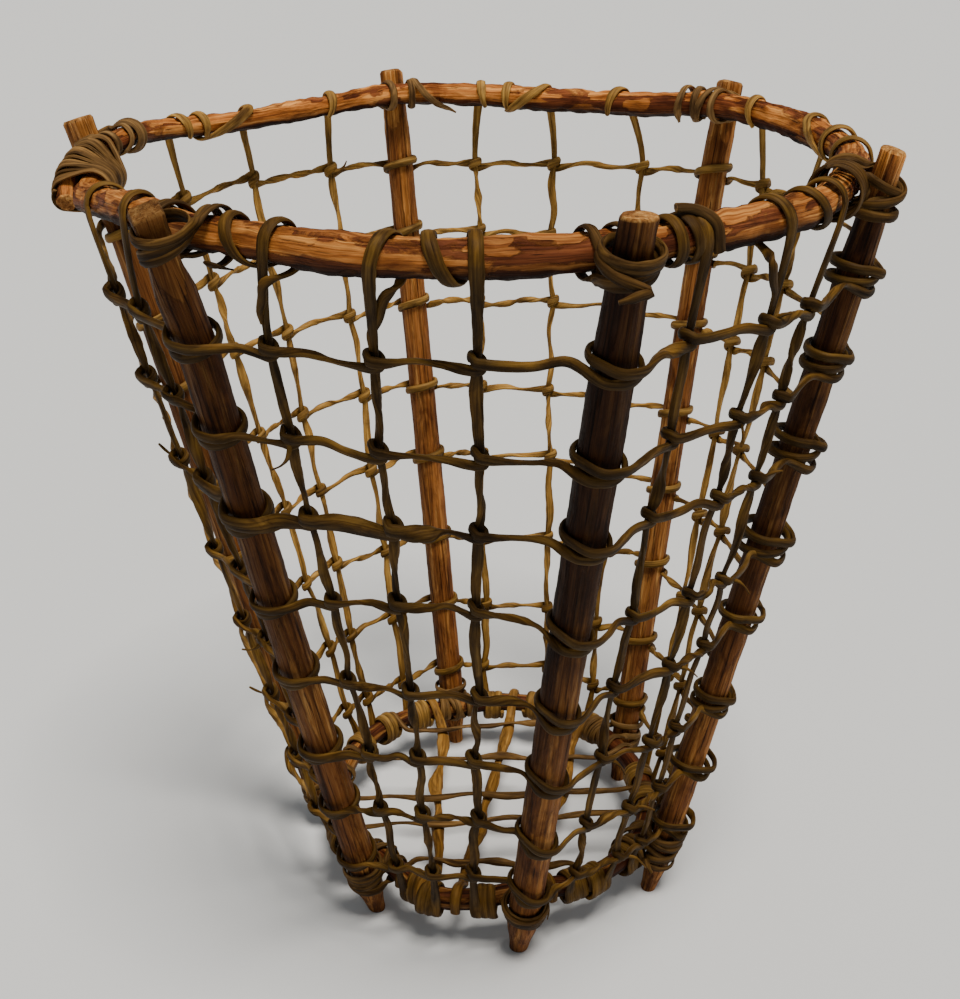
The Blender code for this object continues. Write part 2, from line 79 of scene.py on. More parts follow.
# Stakes: name, azimuth at the rim and at the floor, then shares of the two circles, of the thickness,
# of the stand above the rim, of the rise of the rim stick where it is lashed to the stake, and of the bow
STAKES = (
    ("left", 173.4, 174.0, 0.989, 1.022, 0.98, 0.86, 0.70, 0.0),
    ("front_left", 233.6, 223.6, 1.017, 0.926, 0.97, 0.80, 0.00, -1.0),
    ("front", 284.2, 278.9, 1.043, 0.966, 1.03, 1.18, 0.00, 0.0),
    ("right", 334.4, 331.5, 0.967, 1.064, 0.87, 0.82, 0.00, 0.0),
    ("back_right", 43.1, 30.8, 0.993, 1.006, 0.93, 0.82, 0.30, 0.0),
    ("back", 105.4, 103.2, 1.024, 0.975, 0.93, 0.88, 0.30, 0.0),
)
STAKE_RING_SHARES = (0.0, 0.25, 0.5, 0.75, 1.0)
STAKE_TAPER_SHARES = (0.97, 1.0, 1.0, 0.98, 0.95)

# Rim stick, run round once from its thick end: azimuth, share of the rim circle and share of the rise
RIM_RISE_HEIGHT = 0.010
RIM_THICK_END = 179.0
RIM_THIN_END = 550.5
RIM_BENDS = (
    (179.0, 1.012, -0.95),
    (185.0, 1.021, -1.15),
    (191.0, 1.025, -1.25),
    (203.0, 0.984, -0.65),
    (217.0, 0.984, -0.10),
    (243.0, 1.000, 0.00),
    (258.0, 1.045, 0.00),
    (270.0, 1.041, 0.00),
    (296.0, 0.995, 0.00),
    (306.0, 0.984, 0.00),
    (317.0, 0.984, 0.00),
    (354.0, 0.967, 0.00),
    (371.5, 0.977, 0.00),
    (384.0, 0.984, 0.15),
    (415.5, 0.923, 0.10),
    (434.5, 0.938, 0.00),
    (450.5, 0.988, 0.15),
    (482.0, 0.956, 0.10),
    (501.0, 0.948, 0.00),
    (511.0, 0.970, 0.10),
    (522.0, 1.010, 0.40),
    (539.0, 1.022, 0.48),
)
# Thickness of the rim stick along its run
RIM_TAPER_SHARES = (
    (179.0, 0.92),
    (250.0, 1.04),
    (330.0, 1.00),
    (410.0, 0.97),
    (480.0, 0.82),
    (520.0, 0.72),
    (550.5, 0.60),
)
# Beyond one full round the thin end rides on the thick end: its bearing about it, 90 above and 0 outside
SPLICE_BEARINGS = ((539.0, 75.0), (543.0, 35.0), (547.0, -10.0), (550.5, -28.0))

# Warps: azimuth at the rim, at the first weft and at the base hoop, then turns about the rim and how far
# the first turn stands to one side, in degrees
WARPS = (
    (14.5, 17.5, 3.0, 2, -9.0),
    (33.0, 29.5, 10.0, 1, -2.5),
    (59.5, 57.5, 48.0, 1, 2.0),
    (76.5, 75.5, 67.0, 2, 6.0),
    (90.3, 90.5, 90.5, 1, -1.5),
    (119.5, 120.0, 123.0, 1, 2.0),
    (139.5, 137.0, 138.5, 2, 9.0),
    (156.0, 153.5, 147.0, 1, -1.5),
    (202.5, 208.5, 200.5, 1, 1.5),
    (220.0, 218.5, 211.5, 1, -2.5),
    (245.6, 243.0, 240.0, 2, -5.5),
    (258.5, 256.5, 252.5, 1, 2.0),
    (269.0, 269.3, 264.8, 2, -4.0),
    (295.0, 295.0, 296.0, 2, -3.0),
    (309.0, 307.3, 309.5, 1, -2.0),
    (321.5, 316.5, 320.0, 2, -5.5),
    (351.5, 351.5, 350.0, 1, 3.0),
)
WARP_WANDER_DISTANCE = 0.0016
TAIL_ANGLE = 225.0

# Wefts: height as a share of the net's, from its lowest place to the rim, and how much higher the row stands
# in the middle of the front
ROW_HEIGHT_SHARES = (0.895, 0.777, 0.662, 0.519, 0.394, 0.253, 0.125, 0.006)
ROW_FRONT_RISE_SHARES = (-0.011, 0.000, 0.014, 0.041, 0.025, 0.039, 0.046, 0.039)
FRONT_MIDDLE = 259.0
FRONT_HALF_SPAN = 33.0
ROW_WANDER_HEIGHT = 0.0018

# Floor withes: azimuths of the two places where each is hooked over the base hoop
FLOOR_RUNS_FRONT_TO_BACK = ((246.3, 114.0), (258.6, 79.0), (290.5, 44.0))
FLOOR_RUNS_ACROSS = ((157.5, 21.5), (186.0, 357.5), (205.5, 343.0), (236.3, 303.5), (131.5, 57.0))
FLOOR_HOOK_ANGLES = (140.0, 85.0, 30.0, -25.0)
FLOOR_APPROACH_LENGTH = 0.016

# Strand sections, as half widths and half thicknesses
WEFT_SECTION = (0.0024, 0.0016)
WARP_SECTION = (0.0029, 0.0018)
BINDING_SECTION = (0.0021, 0.0012)
COIL_SECTION = (0.0042, 0.0013)
FLOOR_LONG_SECTION = (0.0038, 0.0026)
FLOOR_CROSS_SECTION = (0.0023, 0.0016)
STRAND_STEP = 0.0018
STICK_STEP = 0.0030

# How far apart a strand's knobs lie, its swellings and bumps per metre, and how its ends are domed
KNOB_SPACING = 0.055
SWELLINGS_PER_METRE = 60
BUMPS_PER_METRE = 170
CAP_SHARE = 0.88
CAP_DEPTH_SHARE = 0.18

# Tones, from 0, dark, to 1, bright: of a cut end, how dull one of them is, and what a crossing adds
CUT_TONE = 0.50
DULL_END_SHARE = 0.34
CROSSING_TONE = -0.19
# Painted shade and light: the front is darkest from here forward, brightens over this depth, and the far
# side also with this height
SHADE_FRONT = 0.14
SHADE_DEPTH = 0.20
SHADE_HEIGHT = 0.32
# The same painted shade on the rim stick: darkest from here forward, brightening over this depth
RIM_SHADE_FRONT = 0.1
RIM_SHADE_DEPTH = 0.25

# Cells of the grain per metre, across it and along it, and the relief that the grain stands out by
STREAK_WIDTH = 0.0011
WITHE_STREAKS = (0.6 / STREAK_WIDTH, 26.0)
WITHE_BLOTCHES = (110.0, 38.0)
WITHE_FIBRES = (2.2 / STREAK_WIDTH, 90.0)
WITHE_RELIEF = 0.0006
WOOD_STREAKS = (430.0, 13.0)
WOOD_FIBRES = (1700.0, 45.0)
WOOD_CRACKS = (780.0, 24.0)
WOOD_STAINS = (70.0, 26.0)
WOOD_RELIEF = 0.0010
PATCHES_PER_METRE = 120.0
STAKE_PATCH_LENGTH = 0.090
RIM_PATCH_LENGTH = 0.022
HOOP_PATCH_LENGTH = 0.030
CUT_PATCH_LENGTH = 0.010

# Colours of each wood, bark and withe, from its darkest streaks to its lightest
BARE_WOOD = ((0.10, 0.028, 0.006), (0.50, 0.20, 0.045), (0.84, 0.44, 0.13))
ORANGE_WOOD = ((0.085, 0.022, 0.005), (0.44, 0.155, 0.034), (0.78, 0.37, 0.10))
CUT_WOOD = ((0.20, 0.07, 0.018), (0.58, 0.27, 0.075), (0.86, 0.50, 0.17))
BROWN_BARK = ((0.05, 0.016, 0.005), (0.30, 0.105, 0.024), (0.50, 0.22, 0.060))
RED_BARK = ((0.026, 0.008, 0.004), (0.16, 0.044, 0.014), (0.38, 0.13, 0.040))
WITHE_COLOURS = ((0.050, 0.024, 0.006), (0.28, 0.162, 0.042), (0.60, 0.39, 0.115))
FLOOR_COLOURS = ((0.10, 0.045, 0.010), (0.34, 0.18, 0.040), (0.60, 0.37, 0.11))
BINDING_COLOURS = ((0.034, 0.018, 0.007), (0.19, 0.110, 0.040), (0.44, 0.280, 0.110))

UP = Vector((0, 0, 1))


def polar(azimuth, radius, height):
    """The point at this azimuth in degrees, distance from the axis and height."""
    angle = math.radians(azimuth)
    return Vector((radius * math.cos(angle), radius * math.sin(angle), height))


def through(stops, where, period=None):
    """The value at this place on a smooth curve through (place, value) stops, sorted by place."""
    places = [place for place, _ in stops]
    values = [value for _, value in stops]
    if period:
        where = (where - places[0]) % period + places[0]
        places = [places[-1] - period] + places + [places[0] + period, places[1] + period]
        values = [values[-1]] + values + [values[0], values[1]]
    else:
        where = min(max(where, places[0]), places[-1])
        places = [2 * places[0] - places[1]] + places + [2 * places[-1] - places[-2]]
        values = [2 * values[0] - values[1]] + values + [2 * values[-1] - values[-2]]
    i = 1
    while i < len(places) - 3 and where > places[i + 1]:
        i += 1
    span = places[i + 1] - places[i]
    t = (where - places[i]) / span
    start = (values[i + 1] - values[i - 1]) / (places[i + 1] - places[i - 1]) * span
    end = (values[i + 2] - values[i]) / (places[i + 2] - places[i]) * span
    rise = values[i + 1] - values[i]
    return values[i] + t * (start + t * (3 * rise - 2 * start - end + t * (start + end - 2 * rise)))


def stake_line(stake):
    """The stake's centre at the floor and at the rim's height, and how far its middle bows sideways."""
    _, top_azimuth, foot_azimuth, top_share, foot_share = stake[:5]
    foot = polar(foot_azimuth, (HOOP_CIRCLE + STAKE_OUTSIDE_HOOP_DISTANCE) * foot_share, 0)
    top = polar(top_azimuth, (RIM_CIRCLE + STAKE_OUTSIDE_RIM_DISTANCE) * top_share, RIM_HEIGHT)
    return foot, top, polar(top_azimuth + 90, STAKE_BOW_DEPTH * stake[8], 0)


def on_line(line, height):
    """The point of a leaning and slightly bowed line at this height."""
    low, high, bow = line
    share = (height - low.z) / (high.z - low.z)
    return low.lerp(high, share) + bow * (4 * share * (1 - share))


def local_axes(line, height):
    """Along the leaning line, outward and sideways (towards larger azimuths) at this height."""
    low, high, _ = line
    along = (high - low).normalized()
    outward = on_line(line, height)
    outward.z = 0
    outward = (outward - along * outward.dot(along)).normalized()
    return along, outward, along.cross(outward)


def stake_radius(stake, ring=1):
    """The stake's radius at a ring: the first is its foot, the last its top and the second its fullest."""
    return STAKE_RADIUS * stake[5] * STAKE_TAPER_SHARES[ring]


def azimuth_of(point):
    """The point's azimuth in degrees, from 0 to 360."""
    return math.degrees(math.atan2(point.y, point.x)) % 360


def seat_distance(line, reach):
    """How far from the axis a level hoop's centre lies from a leaning stake's, to clear it by reach."""
    low, high, _ = line
    return reach * (high - low).length / (high.z - low.z)


def rim_taper(run):
    """The rim stick's radius at this place on its run."""
    return RIM_STICK_RADIUS * through(RIM_TAPER_SHARES, run)


def rim_stops():
    """The rim stick's run: its distance from the axis and its height, at and between the stakes."""
    reaches = [(run, RIM_CIRCLE * share) for run, share, _ in RIM_BENDS]
    heights = [(run, RIM_HEIGHT + RIM_RISE_HEIGHT * rise) for run, _, rise in RIM_BENDS]
    for stake in STAKES:
        line = stake_line(stake)
        height = RIM_HEIGHT + RIM_RISE_HEIGHT * stake[7]
        centre = on_line(line, height)
        run = rim_run(azimuth_of(centre))
        clear = seat_distance(line, stake_radius(stake, -1) + rim_taper(run) + HOOP_SEAT_GAP)
        reaches.append((run, math.hypot(centre.x, centre.y) - clear))
        heights.append((run, height))
    return sorted(reaches), sorted(heights)


def rim_run(azimuth):
    """The place on the rim stick's run at this azimuth, away from the overlap."""
    return azimuth if azimuth > RIM_THIN_END - 360 else azimuth + 360


def rim_point(run):
    """The centre and radius of the rim stick at this place on its run."""
    first, _ = SPLICE_BEARINGS[0]
    if run <= first:
        reaches, heights = RIM_COURSE
        return polar(run, through(reaches, run), through(heights, run)), rim_taper(run)
    centre, thick = rim_point(run - 360)
    thin = rim_taper(run)
    bearing = math.radians(through(SPLICE_BEARINGS, run))
    apart = thin + thick + SEAT_GAP
    return centre + polar(run, apart * math.cos(bearing), apart * math.sin(bearing)), thin


def rim_frame(azimuth):
    """Centre, radius, outward and sideways directions of the rim stick at this azimuth."""
    run = rim_run(azimuth % 360)
    centre, radius = rim_point(run)
    before, _ = rim_point(max(RIM_THICK_END, run - 1))
    after, _ = rim_point(run + 1)
    sideways = after - before
    sideways.z = 0
    sideways.normalize()
    return centre, radius, Vector((sideways.y, -sideways.x, 0)), sideways


def hoop_stops():
    """Azimuth and distance from the axis of the base hoop's centre: against each stake, and midway."""
    stops = []
    for stake in STAKES:
        line = stake_line(stake)
        centre = on_line(line, HOOP_HEIGHT)
        reach = seat_distance(line, stake_radius(stake, 0) + HOOP_STICK_RADIUS + HOOP_SEAT_GAP)
        stops.append((azimuth_of(centre), math.hypot(centre.x, centre.y) - reach))
    stops.sort()
    following = stops[1:] + [(stops[0][0] + 360, stops[0][1])]
    middles = [(((a + b) / 2) % 360, HOOP_CIRCLE) for (a, _), (b, _) in zip(stops, following)]
    return sorted(stops + middles)


def hoop_point(azimuth):
    return polar(azimuth, through(hoop_stops(), azimuth, 360), HOOP_HEIGHT)


def net_height(share):
    """The height at this share of the net, from its lowest place to the rim."""
    lowest = HOOP_HEIGHT + NET_FOOT_HEIGHT
    return lowest + (RIM_HEIGHT - lowest) * share


def warp_line(entry):
    """The warp's straight course, from the base hoop through the first weft."""
    hoop = hoop_point(entry[2])
    reach = math.hypot(hoop.x, hoop.y) + HOOP_STICK_RADIUS + WARP_RADIUS + SEAT_GAP
    height = net_height(ROW_HEIGHT_SHARES[0])
    least = HOOP_CIRCLE + NET_OUTSIDE_HOOP_DISTANCE
    most = RIM_CIRCLE + NET_OUTSIDE_RIM_DISTANCE
    bend = polar(entry[1], least + (most - least) * height / RIM_HEIGHT, height)
    return polar(entry[2], reach, HOOP_HEIGHT), bend, Vector((0, 0, 0))


def row_height(row, azimuth):
    """The height of a weft row where it meets the upright at this azimuth."""
    away = (azimuth - FRONT_MIDDLE + 180) % 360 - 180
    swell = math.cos(math.radians(90 * away / FRONT_HALF_SPAN)) ** 2 if abs(away) < FRONT_HALF_SPAN else 0.0
    share = ROW_HEIGHT_SHARES[row] + ROW_FRONT_RISE_SHARES[row] * swell
    return net_height(share) + ROW_WANDER_HEIGHT * math.sin(math.radians(3 * azimuth) + 2.4 * row)


def crossing_height(row, line):
    """The height at which a weft row meets this upright."""
    return row_height(row, azimuth_of(on_line(line, net_height(ROW_HEIGHT_SHARES[row]))))


def warp_wander(number, row):
    """How far the warp is pulled sideways by a weft row."""
    return WARP_WANDER_DISTANCE * math.sin(1.9 * number + 2.7 * row)


def crossings(row):
    """The uprights that a weft row meets, in order of azimuth: centre, axes and radius."""
    met = []
    for stake in STAKES:
        line = stake_line(stake)
        height = crossing_height(row, line)
        met.append((on_line(line, height), local_axes(line, height), stake_radius(stake)))
    for number, entry in enumerate(WARPS):
        line = warp_line(entry)
        height = crossing_height(row, line)
        axes = local_axes(line, height)
        met.append((on_line(line, height) + axes[2] * warp_wander(number, row), axes, WARP_RADIUS))
    return sorted(met, key=lambda crossing: azimuth_of(crossing[0]))


def outward_of(point):
    return Vector((point.x, point.y, 0)).normalized()


def around_stick(away, angle):
    """The direction from a level stick's middle at this angle in degrees: 0 is away and 90 is up."""
    turn = math.radians(angle)
    return away * math.cos(turn) + UP * math.sin(turn)


RIM_COURSE = rim_stops()


def smooth(share):
    share = np.clip(share, 0.0, 1.0)
    return share * share * (3 - 2 * share)


def knot(position, normal, roll=0.0, wide=1.0, thick=1.0, paler=0.0):
    """A place on a strand: where it is, which way its flat side faces, roll, shares of its size, tone."""
    return (*position, *normal, roll, wide, thick, paler)


def curve_through(knots, closed, step):
    """Even places on a smooth curve through knots, with all that a knot holds carried between them."""
    table = np.array(knots)
    count = len(table)
    places = []
    for place in range(count if closed else count - 1):
        here = table[place]
        there = table[(place + 1) % count]
        before = table[place - 1] if closed or place else here * 2 - there
        after = table[(place + 2) % count] if closed or place < count - 2 else there * 2 - here
        rise = there[:3] - here[:3]
        span = np.linalg.norm(rise)
        back = max(np.linalg.norm(here[:3] - before[:3]), span / 3)
        ahead = max(np.linalg.norm(after[:3] - there[:3]), span / 3)
        start = ((here[:3] - before[:3]) / back * span + rise / span * back) * (span / (span + back))
        end = (rise / span * ahead + (after[:3] - there[:3]) / ahead * span) * (span / (span + ahead))
        t = np.linspace(0, 1, max(2, round(span / step)), endpoint=False)[:, None]
        row = here + (there - here) * smooth(t)
        bend = (rise * 3 - start * 2 - end) * t ** 2 + (start + end - rise * 2) * t ** 3
        row[:, :3] = here[:3] + start * t + bend
        places.append(row)
    if not closed:
        places.append(table[-1:])
    return np.concatenate(places)


def along_strand(places, closed):
    """Directions ahead, across and out at each place, how far along it is, and the whole length."""
    line = places[:, :3]
    ahead = np.roll(line, -1, axis=0) - np.roll(line, 1, axis=0) if closed else np.gradient(line, axis=0)
    ahead /= np.linalg.norm(ahead, axis=1)[:, None]
    out = places[:, 3:6] - ahead * (places[:, 3:6] * ahead).sum(axis=1)[:, None]
    out /= np.maximum(np.linalg.norm(out, axis=1), 1e-9)[:, None]
    across = np.cross(ahead, out)
    roll_cos = np.cos(places[:, 6])[:, None]
    roll_sin = np.sin(places[:, 6])[:, None]
    run = np.concatenate([[0.0], np.cumsum(np.linalg.norm(np.diff(line, axis=0), axis=1))])
    whole = run[-1] + (np.linalg.norm(line[0] - line[-1]) if closed else 0.0)
    return ahead, across * roll_cos + out * roll_sin, out * roll_cos - across * roll_sin, run, whole


def add_cap(shape, rim, ahead, depth, way):
    """Closes one end of a strand with a shallow dome."""
    points, grain, bare, corners = shape
    middle = np.mean([points[corner] for corner in rim], axis=0)
    inner = []
    for corner in rim:
        inner.append(len(points))
        points.append(tuple(middle + (np.array(points[corner]) - middle) * CAP_SHARE + ahead * depth))
        grain.append((grain[corner][0] * CAP_SHARE, grain[corner][1] * CAP_SHARE, grain[corner][2]))
        bare.append(1.0)
    centre = len(points)
    points.append(tuple(middle + ahead * depth * 1.1))
    grain.append((0.0, 0.0, grain[rim[0]][2]))
    bare.append(1.0)
    for side in range(len(rim)):
        other = (side + 1) % len(rim)
        a, b, c, d = rim[side], rim[other], inner[other], inner[side]
        corners.append((a, b, c, d) if way > 0 else (b, a, d, c))
        corners.append((d, c, centre) if way > 0 else (c, d, centre))


def sweep(name, places, section, surface, closed=False, sides=12, roughness=0.10, tone=None, facets=None,
          end_surface=None, flat_back=0.75, top_bare=0.0, cut_tone=CUT_TONE):
    """A strand or stick: a section swept along its places, its flat side facing along their normals."""
    seed = sum(ord(letter) * (place + 3) for place, letter in enumerate(name)) % 997 * 0.31
    ahead, across, out, run, whole = along_strand(places, closed)
    count = len(places)
    points = np.empty((count, sides, 3))
    grain = np.empty((count, sides, 3))
    bare = np.zeros((count, sides))
    for place in range(count):
        spot = Vector((run[place], 0, 0))
        if closed:
            # a closed strand's swellings repeat after one round
            turn = 2 * math.pi * run[place] / whole
            spot = Vector((math.cos(turn), math.sin(turn), 0)) * (whole / (2 * math.pi))
        swell = 1 + 0.8 * roughness * noise.noise(spot * SWELLINGS_PER_METRE + Vector((seed, 0, seed)))
        knob = noise.noise(spot / KNOB_SPACING + Vector((seed, 5, 7)))
        swell += roughness * smooth(knob * 3 - 0.9)
        wide = section[0] * places[place, 7] * swell
        thick = section[1] * places[place, 8] * swell
        for side in range(sides):
            angle = 2 * math.pi * side / sides
            east = math.cos(angle)
            north = math.sin(angle)
            bump = noise.noise(spot * BUMPS_PER_METRE + Vector((seed + east * 1.3, north * 1.3, seed)))
            reach = 1 + roughness * bump
            if facets:
                cut = facets(run[place], whole, angle)
                bare[place, side] = smooth((0.995 - cut) / 0.06) + top_bare * north
                reach *= cut
            if north < 0:
                north *= flat_back
            offset = across[place] * (east * wide * reach) + out[place] * (north * thick * reach)
            points[place, side] = places[place, :3] + offset
            grain[place, side] = (east * wide, north * thick, run[place] + seed)
    points = [tuple(point) for point in points.reshape(-1, 3)]
    grain = [tuple(entry) for entry in grain.reshape(-1, 3)]
    bare = list(bare.ravel())
    corners = []
    for ring in range(count if closed else count - 1):
        after = (ring + 1) % count * sides
        for side in range(sides):
            other = (side + 1) % sides
            corners.append((ring * sides + side, ring * sides + other, after + other, after + side))
    walls = len(corners)
    if not closed:
        for ring, way in ((0, -1.0), (count - 1, 1.0)):
            rim = [ring * sides + side for side in range(sides)]
            depth = section[1] * places[ring, 8] * CAP_DEPTH_SHARE * way
            add_cap((points, grain, bare, corners), rim, ahead[ring], depth, way)
    # Each place's tone: painted light and shade from the tone function plus its knot's own tone; cut ends
    # take one tone
    shades = []
    for number, point in enumerate(points):
        ring = min(number // sides, count - 1)
        facing = Vector(point) - Vector(places[ring, :3])
        facing.normalize()
        shade = cut_tone if number >= count * sides else tone(Vector(point), facing) + places[ring, 9]
        shades.append(min(1.0, max(0.0, shade)))
    data = bpy.data.meshes.new(name)
    shift = np.array((AXIS_X, AXIS_Y, 0.0))
    data.from_pydata([tuple(np.array(point) + shift) for point in points], [], corners)
    for label, kind, field, values in (("grain", "FLOAT_VECTOR", "vector", grain),
                                       ("tone", "FLOAT", "value", shades), ("bare", "FLOAT", "value", bare)):
        layer = data.attributes.new(label, kind, "POINT").data
        layer.foreach_set(field, np.array(values, np.float32).ravel())
    data.materials.append(surface)
    data.shade_smooth()
    if not closed:
        data.materials.append(end_surface or surface)
        for face in range(walls, len(corners)):
            data.polygons[face].material_index = 1
        data.set_sharp_from_angle(angle=math.radians(42))
    made = bpy.data.objects.new(name, data)
    bpy.context.scene.collection.objects.link(made)
    return made


def place_piece(piece, slot, *nodes):
    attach(piece, "root")
    if nodes:
        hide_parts(*nodes)
    return piece


def strand(name, knots, section, surface, slot, *nodes, closed=False):
    places = curve_through(knots, closed, STRAND_STEP)
    # every strand takes the withes' painted light and shade as its tone
    return place_piece(sweep(name, places, section, surface, closed=closed, tone=painted_light_tone), slot, *nodes)


def cloud(tree, source, cells, detail, rough=0.6, distort=0.0):
    """A noise field in the grain's own directions, with so many cells per metre across it and along it."""
    across, along = cells
    stretched = tree.nodes.new("ShaderNodeMapping")
    stretched.inputs["Scale"].default_value = (across, across, along)
    tree.links.new(source, stretched.inputs["Vector"])
    made = tree.nodes.new("ShaderNodeTexNoise")
    for name, value in (("Scale", 1.0), ("Detail", detail), ("Roughness", rough), ("Distortion", distort)):
        made.inputs[name].default_value = value
    tree.links.new(stretched.outputs["Vector"], made.inputs["Vector"])
    return made.outputs["Fac"]


def ramp(tree, source, *stops):
    made = tree.nodes.new("ShaderNodeValToRGB")
    elements = made.color_ramp.elements
    elements[0].position = stops[0][0]
    elements[0].color = (*stops[0][1], 1.0)
    elements[1].position = stops[-1][0]
    elements[1].color = (*stops[-1][1], 1.0)
    for position, colour in stops[1:-1]:
        elements.new(position).color = (*colour, 1.0)
    tree.links.new(source, made.inputs["Fac"])
    return made.outputs["Color"]


def grey(level):
    return (level, level, level)


def mixed(tree, kind, factor, first, second):
    made = tree.nodes.new("ShaderNodeMix")
    made.data_type = "RGBA"
    made.blend_type = kind
    if isinstance(factor, float):
        made.inputs["Factor"].default_value = factor
    else:
        tree.links.new(factor, made.inputs["Factor"])
    sockets = [entry for entry in made.inputs if entry.type == "RGBA"]
    for value, socket in zip((first, second), sockets):
        tree.links.new(value, socket)
    return [entry for entry in made.outputs if entry.type == "RGBA"][0]


def weighted(tree, source, weight, other):
    """A field of source times weight, plus other."""
    made = tree.nodes.new("ShaderNodeMath")
    made.operation = "MULTIPLY_ADD"
    made.inputs[1].default_value = weight
    tree.links.new(source, made.inputs[0])
    tree.links.new(other, made.inputs[2])
    return made.outputs["Value"]


def ranged(tree, source, low, high, at_low=0.0, at_high=1.0):
    """A field that is at_low where source is low and at_high where it is high."""
    made = tree.nodes.new("ShaderNodeMapRange")
    for name, value in (("From Min", low), ("From Max", high), ("To Min", at_low), ("To Max", at_high)):
        made.inputs[name].default_value = value
    tree.links.new(source, made.inputs["Value"])
    return made.outputs["Result"]


def attribute(tree, name, output="Fac"):
    made = tree.nodes.new("ShaderNodeAttribute")
    made.attribute_name = name
    return made.outputs[output]


def finish_surface(tree, colour, streaks, relief, rough_low, rough_high, fine, peeled=None):
    """Colour, a sheen that is duller in the dark streaks, and fine relief along the fibres."""
    shader = tree.nodes["Principled BSDF"]
    tree.links.new(colour, shader.inputs["Base Color"])
    tree.links.new(ranged(tree, streaks, 0.3, 0.7, rough_high, rough_low), shader.inputs["Roughness"])
    level = weighted(tree, fine, 0.4, streaks)
    if peeled:
        level = weighted(tree, peeled, -0.9, level)
    bump = tree.nodes.new("ShaderNodeBump")
    bump.inputs["Strength"].default_value = 0.9
    bump.inputs["Distance"].default_value = relief
    tree.links.new(level, bump.inputs["Height"])
    tree.links.new(bump.outputs["Normal"], shader.inputs["Normal"])


def new_surface(name):
    made = bpy.data.materials.new(name)
    made.use_nodes = True
    shader = made.node_tree.nodes["Principled BSDF"]
    shader.inputs["Metallic"].default_value = 0.0
    shader.inputs["Specular IOR Level"].default_value = 0.09
    return made


def strand_surface(name, colours, rough):
    """A withe: long fibres, darker scraps of bark along it, painted light on the far side and painted shade
    on the front.
    """
    made = new_surface(name)
    tree = made.node_tree
    grain = attribute(tree, "grain", "Vector")
    streaks = cloud(tree, grain, WITHE_STREAKS, 5.0, 0.62, 0.5)
    blotches = cloud(tree, grain, WITHE_BLOTCHES, 4.0, 0.6, 0.9)
    fine = cloud(tree, grain, WITHE_FIBRES, 3.0)
    colour = ramp(tree, streaks, *zip((0.27, 0.50, 0.76), colours))
    shade = ramp(tree, blotches, (0.34, (0.26, 0.20, 0.16)), (0.48, (0.90, 0.84, 0.78)),
                 (0.66, (1.35, 1.25, 1.05)))
    colour = mixed(tree, "MULTIPLY", 0.8, colour, shade)
    # the tone darkens and brightens the colour, painting in light and shade as well as each piece's own tone
    light_and_tone_tints = ramp(tree, attribute(tree, "tone"), (0.0, (0.12, 0.11, 0.085)), (0.28, (0.46, 0.40, 0.26)),
                 (0.5, (0.86, 0.82, 0.77)), (1.0, (1.75, 1.6, 1.4)))
    colour = mixed(tree, "MULTIPLY", 1.0, colour, light_and_tone_tints)
    finish_surface(tree, colour, streaks, WITHE_RELIEF, rough - 0.12, rough + 0.15, fine)
    return made


def stick_surface(name, wood, bark, rough, bark_share, patch_length):
    """A stick: hewn flats of bare wood with dark grain, patches of bark, and fine dark cracks."""
    made = new_surface(name)
    tree = made.node_tree
    grain = attribute(tree, "grain", "Vector")
    streaks = cloud(tree, grain, WOOD_STREAKS, 7.0, 0.62, 0.9)
    patches = cloud(tree, grain, (PATCHES_PER_METRE, 1 / patch_length), 8.0, 0.74, 1.0)
    fine = cloud(tree, grain, WOOD_FIBRES, 3.0)
    bare = ramp(tree, streaks, *zip((0.30, 0.49, 0.66), wood))
    covered = ramp(tree, streaks, *zip((0.32, 0.50, 0.70), bark))
    peeled = weighted(tree, patches, 1.6, attribute(tree, "bare"))
    peeled = ranged(tree, peeled, 0.72 + bark_share, 0.93 + bark_share)
    colour = mixed(tree, "MIX", peeled, covered, bare)
    cracks = cloud(tree, grain, WOOD_CRACKS, 3.0, 0.5, 1.0)
    cracks = ramp(tree, cracks, (0.33, (0.16, 0.12, 0.10)), (0.39, grey(1.0)))
    stains = cloud(tree, grain, WOOD_STAINS, 4.0, 0.6, 1.0)
    stains = ramp(tree, stains, (0.36, (0.34, 0.25, 0.20)), (0.54, grey(1.0)))
    for marks in (cracks, stains):
        colour = mixed(tree, "MULTIPLY", 0.85, colour, marks)
    # the tone darkens and brightens the colour, painting in light and shade as well as each piece's own tone
    light_and_tone_tints = ramp(tree, attribute(tree, "tone"), (0.0, (0.055, 0.04, 0.025)), (0.5, (0.85, 0.82, 0.78)),
                 (1.0, (1.7, 1.55, 1.35)))
    colour = mixed(tree, "MULTIPLY", 1.0, colour, light_and_tone_tints)
    finish_surface(tree, colour, streaks, WOOD_RELIEF, rough - 0.1, rough + 0.12, fine, peeled)
    return made


def painted_light_tone(point, facing):
    """Painted shade and light: withes darker and duller at the front, brighter ochre on the far side and
    upper faces.
    """
    far = float(smooth((point.y + SHADE_FRONT) / SHADE_DEPTH))
    high = 0.50 + 0.50 * float(smooth(point.z / SHADE_HEIGHT))
    return 0.11 + 0.50 * far * high + (0.21 - 0.11 * far) * facing.z


# A weft's turn about an upright: how far to its side and out of it the weft passes, between which heights it
# climbs, how it lies over its own start, and how much wider and thicker it is
WARP_TURN_REACHES = (0.0019, 0.0013)
WARP_TURN_RISES = (0.0024, 0.0040)
STAKE_TURN_RISES = (0.0040, 0.0058)
OVER_SHARE = 1.7
TURN_WIDE_SHARE = 1.18
TURN_THICK_SHARE = 1.12
CROSSING_WANDER = 0.0012

# The stake that some rows go round twice, those rows, and how loosely every row lies about it
TWICE_ROUND = ("right", (0, 1, 2, 3, 5))
LOOSE_TURN = 0.0048

